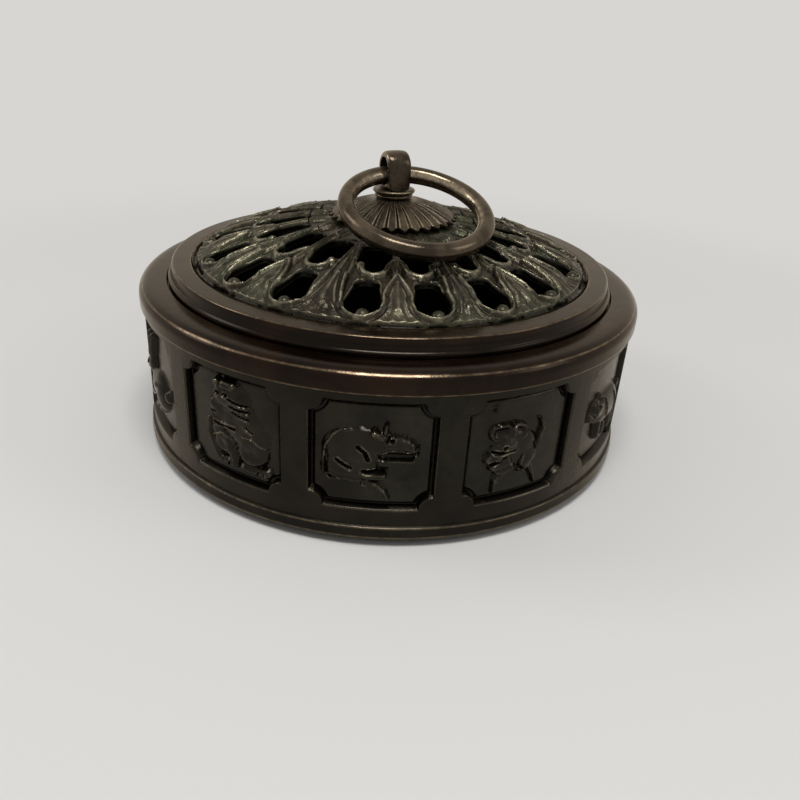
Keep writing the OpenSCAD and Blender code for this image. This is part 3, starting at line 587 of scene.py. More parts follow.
def buildBoss():
    # crown: a sphere's cap through the top and the rim; each petal's phase runs 0..1 round the boss
    b, w = boss, bossWearAndShading
    count = b["petals"] * b["steps"]
    bearing = np.arange(count) / count * 360
    phase = (bearing * b["petals"] / 360) % 1
    reach = (b["radius"] - b["notch"] * (1 - np.abs(2 * phase - 1)))[:, None]
    t = np.linspace(0, 1, b["rings"])[None, :]
    radius = b["bore"] + (reach - b["bore"]) * (1 - (1 - t) ** b["crowding"])
    rise = b["top"] - b["bottom"] - b["rim"]
    crown = (b["radius"] ** 2 + rise ** 2) / (2 * rise)
    height = b["top"] - crown + np.sqrt(crown ** 2 - radius ** 2)
    across = np.abs(2 * ((phase + 0.5) % 1) - 1)[:, None]
    groove = (1 - rounded(across)) * b["roundShare"] + ridge(across, b["lineShare"], 1, b["lineHalf"])
    fade = ramp(radius, b["collar"], b["collar"] + b["fade"])
    veins = ridge(across, *b["ribVein"]) - ridge(across, *b["midVein"])
    height = height - b["groove"] * fade * (groove + veins) * (0.5 + 0.5 * radius / b["radius"])
    # crests of the petals lighter, wear and painted highlight; grooves between them below zero, painted shade
    crease = ridgeShare(height - groove, w["creaseScale"])
    wearAndShading = np.clip(w["plain"] + w["crease"] * crease + w["edge"] * ramp(radius, *w["edgeSpan"]), -0.6, 1)
    turn = bearing[:, None]
    lipHeight = np.maximum(height[:, -1:] - np.array([b["lipDown"]]), b["bottom"] + b["overBottom"])
    lip = polar(reach - np.array([b["lipIn"]]), turn, lipHeight)
    floor = polar(np.array([[b["floor"], b["bore"]]]), turn, b["bottom"])
    shell = np.concatenate([polar(radius, turn, height), lip, floor], 1)
    shellWearAndShading = np.concatenate([wearAndShading, np.broadcast_to([w["below"]], (count, len(w["below"])))], 1)
    makePiece("petalBoss", [closedGrid(shell, shellWearAndShading)], "bossBronze", "lid", ["boss"],
              creaseDeg=60)


buildBoss()

# Ring eye: strap bent over the ring, with its rivet under the lid; outwards is along the eye's bearing. neck:
# how far the outer stadium runs below the base, where the floor cuts it; crown: rounding across the strap.
eye = dict(bearing=21.0, base=73.622, centre=78.6, topAt=79.522, holeLow=77.622, hole=3.1, outer=4.89, neck=9,
           width=7.0, rivetLow=56.92, rivetTop=58.32, shank=2.0, crown=0.24, steps=144,
           reach=[0.2, 1.0, 1.0, 0.2], rivetFoot=2.6, rivetHead=3.4, rivetReach=[0, 0.8, 0.3, 0.1, 0.1, 0],
           shankInto=0.45, longest=0.9)
# top: painted highlight on the strap's upper half; plain, below zero: painted shade over the rest; edge: wear
# on the strap's edges
eyeWearAndShading = dict(plain=-0.1, edge=0.25, edgeFrom=0.86, top=0.85, shank=0.4)


def turnedFrame(bearing):
    # outward and sideways directions at a bearing
    angle = math.radians(bearing)
    return np.array([math.sin(angle), -math.cos(angle), 0]), np.array([math.cos(angle), math.sin(angle), 0])


def raysToStadium(angle, centre, low, high, radius):
    # distance from the centre to an upright stadium: its straight sides, or the round end that the ray meets
    c, s = np.cos(angle), np.sin(angle)
    side = radius / np.maximum(np.abs(c), 1e-6)
    end = np.where(s > 0, high, low) - centre
    along = s * end
    arc = along + np.sqrt(np.clip(radius ** 2 - end ** 2 + along ** 2, 0, None))
    inside = (centre + side * s <= high) & (centre + side * s >= low)
    return np.where(inside, side, arc)


def buildEye():
    e, w = eye, eyeWearAndShading
    angle = circleSteps(e["steps"])
    cosine, sine = np.cos(angle)[:, None], np.sin(angle)[:, None]
    inner = raysToStadium(angle, e["centre"], e["holeLow"], e["topAt"], e["hole"])[:, None]
    outer = raysToStadium(angle, e["centre"], e["base"] - e["neck"], e["topAt"], e["outer"])[:, None]
    floor = (e["centre"] - e["base"]) / np.maximum(-sine, 1e-3)
    outer = np.where(sine < 0, np.minimum(outer, floor), outer)
    half = e["width"] / 2
    section = filletLoop([(0, -half), (1, -half), (1, half), (0, half)], e["reach"], steps=8)
    section = splitLong(section, e["longest"])
    share, across = section.T
    share = share * (1 - e["crown"] * np.abs(across / half) ** 3)
    reach = inner + (outer - inner) * share
    out, side = turnedFrame(e["bearing"])
    points = (reach * cosine)[..., None] * out + np.broadcast_to(across, reach.shape)[..., None] * side
    points[..., 2] += e["centre"] + reach * sine
    edgeWear = w["edge"] * (np.abs(across) > half * w["edgeFrom"])
    # lighter towards the top as painted highlight, painted shade elsewhere
    wearAndShading = np.clip(edgeWear + w["plain"] + w["top"] * clamp(sine), -0.2, 1)
    shankTop = e["base"] + e["shankInto"]
    rivet = filletLoop([(0, e["rivetLow"]), (e["rivetFoot"], e["rivetLow"]), (e["rivetHead"], e["rivetTop"]),
                        (e["shank"], e["rivetTop"]), (e["shank"], shankTop), (0, shankTop)],
                       e["rivetReach"], steps=5)
    shank = turned(rivet, segments=48, wobble=0, wearAndShading=w["shank"])
    makePiece("ringEye", [closedGrid(points, wearAndShading), shank], "ringBronze", "eye", ["ring_eye"])


buildEye()

# Loose ring: round bar, a little uneven as cast and handled
ring = dict(bearing=21.0, pivot=77.6221, droop=18.7716, radius=19.6, bar=2.5, uneven=0.06, around=256,
            across=40, wearAndShading=0.45, rubbedAndHighlit=0.45, rubbedAt=0.8)


def buildRing():
    # torus that hangs from the pivot: bar radius less a few slow waves; lighter along its inner upper side:
    # rubbed metal and painted highlight
    g = ring
    t, v = circleSteps(g["around"])[:, None], circleSteps(g["across"])[None, :]
    out, side = turnedFrame(g["bearing"])
    droop = math.radians(g["droop"])
    slope = out * math.cos(droop) - np.array([0, 0, math.sin(droop)])
    normal = np.cross(slope, side)
    bar = g["bar"] - g["uneven"] * (0.5 + 0.25 * np.sin(3 * t + 1) + 0.25 * np.sin(5 * t + 2 * v))
    reach = g["radius"] + bar * np.cos(v)
    points = (g["radius"] + reach * np.cos(t))[..., None] * slope + (reach * np.sin(t))[..., None] * side
    points = points + (bar * np.sin(v))[..., None] * normal + np.array([0, 0, g["pivot"]])
    wearAndShading = g["wearAndShading"] + ridge(v, g["rubbedAndHighlit"], np.pi * g["rubbedAt"], 1.0) + 0 * t
    makePiece("looseRing", [closedGrid(points, wearAndShading)], "ringBronze", "ring", ["ring"])


buildRing()

# Bowl wall with twelve sunk panels: bevelled sides, and corners cut back by a hollow quarter round.
wall = dict(radius=74.0, inner=70.4, low=6.0, high=43.2, frontPanel=-1.5, panelHeight=25.5, halfWidth=15.7,
            halfHeight=15.0, corner=3.6, chamfer=0.4, bevel=0.8, sink=2.3, ledge=0.1, floorSide=0.15)
# lip: wear along the panel's edge and half its width; then the painted shade in the recess, and where it
# begins
wallWearAndShading = dict(plain=0.3, lip=0.42, lipHalf=0.4, paintedShading=0.75, paintedShadingSpan=(0.25, 0.6))
# grid lines: offsets inwards from a panel's side, spacing round its corners, and the plain lines between
wallGrid = dict(offsets=[-0.35, -0.2, -0.1, 0, 0.1, 0.2, 0.35, 0.65, 0.8, 0.95, 1.3], cornerFrom=1.6,
                cornerPast=1.7, cornerStep=0.3, middle=[0, 2, 4, 6, 8], beside=[16.6], below=[-18.4, -16.4],
                above=[15.8])
animals = ["rat", "ox", "tiger", "rabbit", "dragon", "snake", "horse", "goat", "monkey", "rooster", "dog",
           "pig"]


def panelBearing(k):
    return wall["frontPanel"] + 360 / len(animals) * (1 - k)


def insidePanel(x, z):
    # depth inside the panel's outline: nearest of its sides and of the quarter rounds round its corners
    toSide = wall["halfWidth"] - np.abs(x)
    toEnd = wall["halfHeight"] - np.abs(z)
    toCorner = np.hypot(np.clip(toSide, 0, None), np.clip(toEnd, 0, None)) - wall["corner"]
    return np.minimum(np.minimum(toSide, toEnd), toCorner)


def onWall(radius, x, z, bearing):
    # points beside a panel's middle line: sqrt(r^2 - x^2) outwards, x sideways, z from the panel's middle
    out, side = turnedFrame(bearing)
    points = np.sqrt(radius ** 2 - x ** 2)[..., None] * out + x[..., None] * side
    points[..., 2] += z + wall["panelHeight"]
    return points


def edgeLines(half, outer):
    # grid lines that crowd at the chamfer and where a corner curves, mirrored about the middle
    g = wallGrid
    near = np.arange(g["cornerFrom"], wall["corner"] + g["cornerPast"], g["cornerStep"])
    lines = np.concatenate([half - np.array(g["offsets"]), half - near, outer, g["middle"]])
    lines = np.unique(np.round(lines, 3))
    return np.concatenate([-lines[:0:-1], lines])


def buildWall():
    w, g, wornnessAndShading = wall, wallGrid, wallWearAndShading
    across = edgeLines(w["halfWidth"], g["beside"])
    tall = np.concatenate([[w["low"] - w["panelHeight"]], g["below"], edgeLines(w["halfHeight"], []),
                           g["above"], [w["high"] - w["panelHeight"]]])
    x, z = np.meshgrid(across, tall, indexing="ij")
    depth = insidePanel(x, z)
    half = w["chamfer"] / 2
    sunk = np.interp(depth, [-half, half, w["bevel"], w["bevel"] + w["floorSide"]],
                     [0, w["chamfer"], w["sink"] - w["ledge"], w["sink"]])
    lip = wornnessAndShading["plain"] + ridge(depth, wornnessAndShading["lip"], 0, wornnessAndShading["lipHalf"])
    # painted shade in the sunk recess: the value falls below zero there
    lip = lip - wornnessAndShading["paintedShading"] * ramp(depth, *wornnessAndShading["paintedShadingSpan"])
    sheets = []
    for k in reversed(range(len(animals))):
        outer = onWall(w["radius"] - sunk, x, z, panelBearing(k))
        outward = outer / np.linalg.norm(outer[..., :2], axis=-1)[..., None]
        inner = outward[:, [-1, 0]] * w["inner"]
        inner[..., 2] = [w["high"], w["low"]]
        sheets.append(np.concatenate([outer, inner], 1))
    wearAndShading = np.tile(np.concatenate([lip, np.zeros((len(across), 2))], 1), (len(animals), 1))
    makePiece("bowlWall", [closedGrid(np.concatenate(sheets), wearAndShading)], "wallBronze", "bowl", ["bowl_wall"],
              creaseDeg=30)


buildWall()

# Plaques. A figure is a list of tapering lobes (x, y, radius, x, y, radius, height share). Its cuts are
# grooves (half width, depth share, x, y, x, y, ...) through those points, or raised lines where the depth is
# below zero.
plaque = dict(ground=72.45, back=71.8, edge=71.9, relief=2.05, highest=1.2, lowest=-0.2, inset=1.2,
              edgeSpan=0.7, blend=6, columns=112, rows=108, figureHeight=25.8, roundness=0.6,
              cutWidth=1.25, paintedShadingWidth=1.1, burr=0.3, burrAt=1.5, burrWidth=0.6, burrFrom=0.1)
# crease, rise: crests and high relief lighter, wear and painted highlight; the groove share: painted shade in
# grooves; edge: painted shade where the plaque dips at its border
plaqueWearAndShading = dict(plain=0.22, crease=0.4, creaseScale=0.14, rise=0.25, paintedShading=1.1, edge=0.4)
figures = {
    "rat": [[0.2, -0.6, 4.8, 1.6, -3.2, 4.4, 0.85], [2.2, -3.6, 3.2, 1, -5.2, 3, 1],
        [-4.4, 0.8, 3.3, -6.6, -1.2, 2.4, 1], [-6.8, -1.5, 2, -9.4, -2.6, 1, 0.95],
        [-7.2, 4.6, 2.2, -5.4, 4.7, 2.3, 0.95], [-2, 5, 2, -0.6, 4.6, 1.9, 0.85],
        [-4, -3.8, 1.6, -7.8, -5, 1.1, 1], [-2.6, -5.8, 1.5, -6.4, -6.4, 1, 0.85],
        [-4.6, -6.8, 1.1, -6.6, -9.2, 0.8, 0.75], [-6.6, -9.2, 0.7, -6.9, -12.4, 0.45, 0.65],
        [3.2, -6.4, 1.2, 4.8, -9.4, 0.75, 0.8], [4.8, -9.4, 0.65, 5.9, -12.4, 0.4, 0.65],
        [5.2, -1.4, 0.8, 6.6, 3.4, 0.6, 0.6], [6.6, 3.4, 0.6, 5.4, 6.4, 0.4, 0.55]],
    "ox": [[-7, 1.4, 5.3, -2.6, 2, 5.2, 1], [-8, -1.8, 3.8, -8.4, -3.6, 3.5, 0.92],
        [-8, -3.6, 3.4, -3.8, -4.4, 2.6, 1], [-2.4, 3.4, 4.1, 1.2, 3.9, 3.2, 0.9],
        [2.6, 4.1, 2.7, 7.8, 3.5, 1.9, 1], [7.6, 3.4, 1.9, 9.9, 2.5, 1.4, 1],
        [1.6, 2.2, 2, 2.6, 2.4, 1.6, 0.9], [1, -1.1, 0.6, 10, -1, 0.55, 0.62],
        [10, -0.9, 0.5, 10.6, 0.8, 0.6, 0.65], [3.4, 0.5, 1.7, 9.6, 0.6, 1.3, 0.42],
        [2.9, 6.6, 0.8, 3.2, 8.6, 0.5, 0.8], [0.4, 6.2, 1.2, 2.4, 5.4, 0.8, 1.08],
        [-1.2, -2.2, 2.6, -0.8, -4.2, 2.2, 0.9], [-1.4, -5.4, 1.7, 2.6, -5.6, 1.2, 0.92],
        [-1.8, -7.4, 1.1, 0.8, -7.8, 0.9, 0.8], [0.8, -7.9, 0.9, 3.2, -10, 0.65, 0.75],
        [3.2, -10, 0.65, 4.1, -12, 0.6, 0.75], [-11.4, 1.6, 0.8, -11.8, -5.2, 0.7, 0.75],
        [-9.4, -5.8, 1.8, -3.2, -6.6, 1.5, 0.85]],
    "tiger": [[-1.4, 8.2, 4.1, 2.4, 7.6, 4.3, 1], [-3.2, 12, 1, -2.8, 11.4, 1.1, 1.1],
        [-0.8, 11.6, 1.4, 1.8, 11.4, 1.5, 1.08], [-4.6, 5.4, 1.9, -3.6, 4.8, 2.2, 1.05],
        [-3.4, 3.2, 3.4, -3.8, -2.2, 3.1, 0.85], [0.6, 1.4, 5, 4.6, -0.8, 5, 0.85],
        [4.4, 4, 3.5, 8.2, -1.6, 3.9, 0.82], [7.2, -5.4, 4.6, 7.5, -5.3, 4.4, 1.08],
        [-1.7, -4.8, 3.3, -1.5, -5, 3.2, 1.05], [-6.3, 0.6, 0.9, -6.4, -3.8, 0.9, 0.95],
        [-6.4, -3.8, 0.9, -3.7, -9.6, 0.8, 0.9], [-5.2, -5.6, 1.6, -4, -8.6, 1.2, 0.8],
        [0.8, -7, 2, 1.6, -9, 1.7, 0.8], [-3.4, -10.2, 1.3, 1.6, -10.4, 1.4, 0.8],
        [4.6, -10.4, 1.5, 11.4, -10.6, 1.5, 0.85]],
    "rabbit": [[2, -3.6, 5.6, -1, -3.4, 5, 0.9], [5, -5.6, 4.2, 4.6, -5, 4.2, 1],
        [-5, 1.2, 3.4, -6.4, 0.6, 2.6, 1], [-4, 4, 1.4, -1, 11, 1.1, 0.9], [-6, 4, 1.3, -4.6, 11, 1, 0.8],
        [-4, -7, 1.5, -6.6, -8.8, 1.2, 0.8], [4, -9, 1.7, -0.6, -9.4, 1.3, 0.8],
        [10, -3.4, 1.8, 9.6, -3, 1.6, 0.8]],
    "dragon": [[-8, 4, 3, -5, 6, 2.6, 1], [-8.6, 3.2, 2.4, -11.6, 1.6, 1.3, 1],
        [-6, 7.6, 1, -2, 10.4, 0.6, 0.9], [-4, 5, 2.6, 0, 1, 2.8, 0.9], [0, 1, 2.8, 5, 2.4, 2.8, 0.9],
        [5, 2.4, 2.7, 7.4, -2.4, 2.5, 0.9], [7.4, -2.4, 2.4, 2.4, -6, 2, 0.9],
        [2.4, -6, 2, -4, -6.4, 1.4, 0.8], [-4, -6.4, 1.3, -9, -4, 0.6, 0.7], [-3, 2, 1.2, -7, -2, 0.9, 0.7],
        [6, -1, 1.2, 11, -5, 0.9, 0.7], [3, 5, 1, 8, 8.6, 0.7, 0.6]],
    "snake": [[-7, 5, 2.4, -9.4, 4.4, 1.6, 1], [-6, 5, 1.8, -1, 6, 1.8, 0.9], [-1, 6, 1.8, 5, 3.6, 1.9, 0.9],
        [5, 3.6, 1.9, 7, -0.4, 2, 0.9], [7, -0.4, 2, 1, -2, 2.2, 0.9], [1, -2, 2.2, -6, -3, 2.2, 0.9],
        [-6, -3, 2.2, -4.4, -7.4, 2, 0.9], [-4.4, -7.4, 2, 4, -8, 1.6, 0.8], [4, -8, 1.5, 11, -5, 0.6, 0.7]],
    "horse": [[-4, 0, 3.8, 4, 0, 3.8, 1], [-6, 2, 2.6, -8, 6.6, 1.9, 0.9], [-8, 7, 1.9, -11.4, 4.4, 1.1, 1],
        [-5.6, 5, 1.2, -7, 8.6, 0.8, 0.7], [-5, -3, 1.3, -6.4, -10, 0.8, 0.8],
        [-2.4, -3, 1.3, -2.8, -10, 0.8, 0.8], [3.4, -3, 1.5, 2.6, -10, 0.8, 0.8],
        [6, -2, 1.6, 7, -10, 0.8, 0.8], [7.4, 1.4, 1.2, 10.4, -5, 0.9, 0.7]],
    "goat": [[-3, -1, 4.2, 5, -1.4, 4.2, 1], [-6, 2, 2.2, -8.4, 4.4, 2, 0.9],
        [-8.4, 4.4, 1.9, -11, 2.4, 1.1, 1], [-7.4, 6.4, 1, -3, 9.4, 0.9, 0.9],
        [-3, 9.4, 0.8, -2, 6.4, 0.6, 0.8], [-9.6, 1, 0.8, -10, -1.6, 0.5, 0.7],
        [-4, -5, 1.2, -4.4, -10, 0.8, 0.8], [-1, -5, 1.2, -0.6, -10, 0.8, 0.8],
        [5, -5, 1.3, 4.4, -10, 0.8, 0.8], [7.6, -4, 1.2, 8, -10, 0.8, 0.8]],
    "monkey": [[0, -2, 4.4, 1, -4.4, 4.8, 0.9], [-1, 5.4, 3.6, -1.4, 4.8, 3.6, 1],
        [-4.8, 5.6, 1.3, -4.6, 5.2, 1.3, 0.8], [2.8, 5.6, 1.3, 2.6, 5.2, 1.3, 0.8],
        [-3.6, 0, 1.6, -7, -3, 1.4, 0.9], [-7, -3, 1.3, -5, -1, 1.2, 0.8], [4, 0, 1.6, 7, 3.6, 1.3, 0.9],
        [-3, -6, 2.2, -5.4, -8.4, 1.6, 1], [4, -6, 2.2, 5.8, -8.6, 1.6, 1], [6, -5, 0.9, 10.4, -1, 0.7, 0.6]],
    "rooster": [[0, -1, 4.4, 3, -1.4, 3.8, 1], [-3.4, 2.4, 2.2, -6, 6, 1.8, 0.9],
        [-7.6, 6, 0.9, -9.6, 5.2, 0.4, 0.9], [-6, 8, 1.2, -4.6, 8.4, 0.9, 0.8],
        [-7, 3.8, 0.8, -7, 2.8, 0.6, 0.7], [5, 1, 1.8, 9.4, 7, 1, 0.9], [5, -1, 1.7, 10.8, 3, 0.9, 0.8],
        [0, -5, 0.9, -1, -10, 0.6, 0.8], [3, -5, 0.9, 3, -10, 0.6, 0.8], [1.4, -0.6, 2.6, 4.4, -2, 1.6, 1]],
    "dog": [[2, -3, 4.6, 4, -5.4, 4.4, 0.9], [-1, 1, 3.6, -2, 3, 3, 0.9], [-4, 5.4, 3, -5, 5, 2.8, 1],
        [-6, 4.4, 2, -9.6, 3.2, 1.2, 1], [-2.4, 8, 1.2, -1.4, 4.4, 1.1, 0.8],
        [-3, -2, 1.6, -4.6, -9.6, 1.1, 0.9], [4, -9, 1.7, -0.4, -9.8, 1.2, 0.9],
        [8, -6, 1.1, 11, -0.4, 0.8, 0.7]],
    "pig": [[-3, -1, 5, 4, -1, 5, 1], [-7, 0.6, 3.2, -8, 0.4, 2.8, 1], [-9.4, -0.4, 1.6, -11, -0.8, 1.4, 1],
        [-6, 3.6, 1.4, -5, 2, 1.2, 0.8], [-5, -5, 1.4, -5, -8.8, 1, 0.8], [-1.6, -6, 1.3, -1.6, -8.8, 1, 0.8],
        [4, -5, 1.5, 4, -8.8, 1, 0.8], [7, -4, 1.5, 7.2, -8.8, 1, 0.8], [9, 1, 0.6, 11, 2.4, 0.5, 0.6]],
}
cuts = {
    "rat": [[1.5, 0.9, -7.4, 4.8, -5.2, 4.9], [1.2, 0.7, -1.8, 4.9, -0.6, 4.6],
        [0.9, -0.15, -8.4, 1.6, -2.6, 1.7], [0.45, 0.5, -8.2, -0.4, -2.4, -0.5],
        [0.5, 0.5, -5.6, 0.9, -5.5, 0.9], [0.3, 0.4, -9, -3, -6.6, -3.2],
        [0.4, 0.4, -0.2, -2.4, -0.9, -5.2, 0.8, -6.6], [0.4, 0.45, -9.3, 12, -8, 12.1],
        [0.4, 0.45, -9.1, 10.8, -7.9, 10.9], [0.35, 0.35, 3.6, 0.2, 4.2, -2.2]],
    "ox": [[0.45, 0.45, -3.4, 3, -1.7, 1.5, -1, -0.6], [0.35, -0.2, -2.6, 3.5, -0.8, 1.8, 0, -0.8],
        [0.4, -0.2, -6.8, 7.2, -9.4, 5.4, -11.2, 2.4, -11.7, -1.4, -11.6, -5.2, -10.4, -7],
        [0.35, -0.18, -8, -0.2, -5.4, -2.2], [0.45, 0.35, -8.4, -1, -5.2, -3.2],
        [0.6, 0.6, -1.8, -3.9, 3.4, -4], [0.6, 0.5, -10.2, -6.1, -8.2, -7.2, -3, -7.5],
        [0.4, -0.3, -2.4, -8.1, -1.2, -8.2], [0.3, -0.2, 2.6, 1.3, 5, 2.2, 8.4, 1.8, 10.4, 0.6],
        [0.9, 0.45, 3.2, 0.4, 9.2, 0.2], [0.5, 0.55, 4.6, 4.9, 4.7, 4.9], [0.3, 0.3, 3.4, 4.4, 3.9, 5.8],
        [0.35, 0.4, 10.3, 3, 10.5, 2.8]],
    "tiger": [[0.5, 0.5, -2.6, 9.2, -2.2, 9.3], [0.5, 0.45, -0.2, 9.2, 0.4, 9.2],
        [0.3, 0.4, -5.2, 3.8, -3.2, 3.9], [0.4, 0.4, 1.4, 8.4, 6.2, 7.2], [0.4, 0.4, 1.6, 6.6, 6.6, 5.6],
        [0.4, 0.35, 2, 5, 6.8, 3.8], [0.4, -0.2, -5.4, 2.8, -3.8, 1.5, -1, 1.2, 3.2, 1.3],
        [0.5, 0.4, -4.2, 0.5, 2.6, 0.3], [0.35, -0.2, -4.8, -3.4, -1.8, -2, 1.2, -3.2, 2.1, -5.6],
        [1.7, 0.3, -1.7, -4.9, -1.5, -5.1], [0.4, -0.2, 5.2, -1, 8.2, -0.9, 11.4, -3.2],
        [0.35, -0.2, 2.7, -4.4, 3.1, -7.2, 4.9, -9.8], [2, 0.3, 6.6, -5.6, 8, -5.2],
        [0.35, 0.35, 6, 1.8, 8, 0.6], [0.25, 0.3, -2, -11, -2, -9.8], [0.25, 0.3, 0.2, -11.2, 0.2, -10],
        [0.25, 0.3, 9.4, -11.4, 9.4, -10.2], [0.25, 0.3, 11, -11.2, 11, -10.2]],
    "rabbit": [[0.5, 0.6, -6.2, 1.8, -6.1, 1.8], [0.5, 0.45, -3.4, 5.4, -1.6, 10.2],
        [0.45, 0.4, -5.6, 5.4, -4.9, 10], [0.3, 0.4, -9, 0.2, -7.4, -0.4], [0.4, 0.4, 2.4, -5.6, 3, -8.4],
        [0.4, 0.35, 1.6, -2.4, 4.4, -2.2]],
    "dragon": [[0.5, 0.6, -6.4, 5, -6.3, 5], [0.35, 0.5, -11.6, 1.6, -8.4, 2.6],
        [0.3, 0.35, -2.8, 4.4, -2, 3.4], [0.3, 0.35, -1.6, 3.2, -0.8, 2.2], [0.3, 0.35, 0.6, 2.6, 1, 0.8],
        [0.3, 0.35, 2.4, 2.8, 2.6, 1], [0.3, 0.35, 4.2, 3.4, 4.2, 1.4], [0.3, 0.35, 6.6, 2, 5, 0.6],
        [0.3, 0.35, 7.8, 0.2, 5.8, -0.6], [0.3, 0.35, 7.6, -2.2, 5.8, -1.8],
        [0.3, 0.35, 5.8, -4.4, 4.6, -3.2], [0.3, 0.35, 3.4, -6.2, 2.8, -4.6], [0.3, 0.35, 0.6, -6.6, 0.6, -5],
        [0.3, 0.3, -2, -6.8, -1.8, -5.4]],
    "snake": [[0.45, 0.6, -8, 5.4, -7.9, 5.4], [0.3, 0.35, -4, 6.6, -4.2, 4.8],
        [0.3, 0.35, -1.8, 6.8, -2, 4.8], [0.3, 0.35, 0.8, 6.4, 0.2, 4.6], [0.3, 0.35, 3.4, 5.4, 2.4, 3.8],
        [0.3, 0.35, 5.8, 2.8, 4.4, 2], [0.3, 0.35, 7.2, 0, 5.6, 0], [0.3, 0.35, 4.4, -2, 3.8, -0.6],
        [0.3, 0.35, 1, -3.4, 1, -1], [0.3, 0.35, -2.4, -3.8, -2.2, -1.6], [0.3, 0.35, -6.8, -4.8, -4.8, -4.8],
        [0.3, 0.35, -4, -8.2, -3.4, -6.4], [0.3, 0.35, -0.6, -8.8, -0.4, -6.8]],
    "horse": [[0.45, 0.6, -8.4, 7.4, -8.3, 7.4], [0.3, 0.45, -11.4, 4.2, -9.6, 4.6],
        [0.3, 0.4, -5.4, 5.8, -6.6, 4.6], [0.3, 0.4, -5, 4.4, -6.2, 3.2], [0.3, 0.4, -4.6, 3, -5.8, 1.8],
        [0.4, 0.4, 2.4, 1.6, 3.4, -2], [0.4, 0.35, -2.8, 1.6, -2.2, -1.8], [0.3, 0.35, 8.4, 0.4, 9.8, -3.8]],
    "goat": [[0.45, 0.6, -8.8, 4.8, -8.7, 4.8], [0.3, 0.45, -11, 2.2, -9.4, 2.6],
        [0.25, 0.35, -6, 7.6, -5.2, 7], [0.25, 0.35, -4.2, 9, -3.8, 8.2], [0.35, 0.35, -3.4, 2, -2.6, -2],
        [0.35, 0.35, -0.6, 2.2, 0.2, -2.4], [0.35, 0.35, 2.6, 2, 3.4, -2.6],
        [0.35, 0.35, 5.2, 0.8, 5.8, -2.8]],
    "monkey": [[0.5, 0.6, -2.5, 5.8, -2.4, 5.8], [0.5, 0.6, 0, 5.8, 0.1, 5.8],
        [0.35, 0.45, -2.2, 3.4, -0.2, 3.4], [0.3, 0.4, -1.3, 4.8, -1.1, 4.8],
        [0.4, 0.35, -1.4, 0.4, 1.6, -0.2], [0.4, 0.4, -1.4, -5, -2, -7.4], [0.4, 0.4, 2.4, -5, 3, -7.4]],
    "rooster": [[0.4, 0.6, -6.4, 6.6, -6.3, 6.6], [0.3, 0.4, 1.4, 0.6, 4.6, -0.8],
        [0.3, 0.4, 1.6, -0.6, 4.8, -2.2], [0.3, 0.4, 1.4, -2, 4.2, -3.4], [0.3, 0.35, 6, 2.4, 8.8, 6],
        [0.3, 0.35, 6.4, 0.6, 9.6, 2.6], [0.3, 0.35, -4.6, 4, -3.2, 2.6], [0.3, 0.3, -3.8, 5, -2.4, 3.4]],
    "dog": [[0.45, 0.6, -5.8, 6, -5.7, 6], [0.3, 0.45, -9.6, 2.6, -7.2, 3.2], [0.4, 0.5, -9.7, 4, -9.5, 4],
        [0.4, 0.4, 0.6, -2, -0.4, -5], [0.4, 0.4, 3, -6.6, 5, -8.6], [0.4, 0.35, -2.6, 2.6, -0.6, 1.4]],
    "pig": [[0.45, 0.6, -8.2, 1.8, -8.1, 1.8], [0.35, 0.5, -10.9, -0.2, -10.8, -0.2],
        [0.35, 0.5, -10.7, -1.4, -10.6, -1.4], [0.3, 0.4, -9.6, -2, -7.6, -2.4],
        [0.4, 0.35, -3.6, 2.4, -2.8, -2.2], [0.4, 0.35, 3.2, 2, 4.2, -2.4],
        [0.3, 0.35, -5.4, 4.2, -5.2, 2.8]],
}


def alongSegment(x, z, x0, z0, x1, z1):
    # share along a segment of the nearest point on it, and the distance to that point
    runX, runZ = x1 - x0, z1 - z0
    t = clamp(((x - x0) * runX + (z - z0) * runZ) / np.maximum(runX ** 2 + runZ ** 2, 0.01))
    return t, np.hypot(x - x0 - t * runX, z - z0 - t * runZ)


def reliefHeight(figure, grooves, x, z):
    # ridge of a lobe: share * (1 - (distance / radius)^2)^0.6; the lobes join by the root of a sum of powers
    p = plaque
    x0, z0, radius0, x1, z1, radius1, share = np.array(figure, float).T[:, :, None, None]
    t, gap = alongSegment(x, z, x0, z0, x1, z1)
    radius = radius0 + (radius1 - radius0) * t
    lobes = share * clamp(1 - (gap / radius) ** 2) ** p["roundness"]
    height = np.minimum((lobes ** p["blend"]).sum(0) ** (1 / p["blend"]), p["highest"])
    paintedShading = np.zeros_like(height)
    for half, depth, *stroke in grooves:
        for i in range(0, len(stroke) - 2, 2):
            _, gap = alongSegment(x, z, *stroke[i:i + 4])
            burr = ridge(gap, p["burr"] * max(depth, 0), half * p["burrAt"], half * p["burrWidth"])
            height = height - ridge(gap, depth, 0, half * p["cutWidth"]) + burr * (height > p["burrFrom"])
            # painted shade along each groove, and painted light along a raised line whose depth is below zero
            paintedShading = paintedShading + ridge(gap, depth, 0, half * p["paintedShadingWidth"])
    return np.clip(height, p["lowest"], p["highest"]), paintedShading


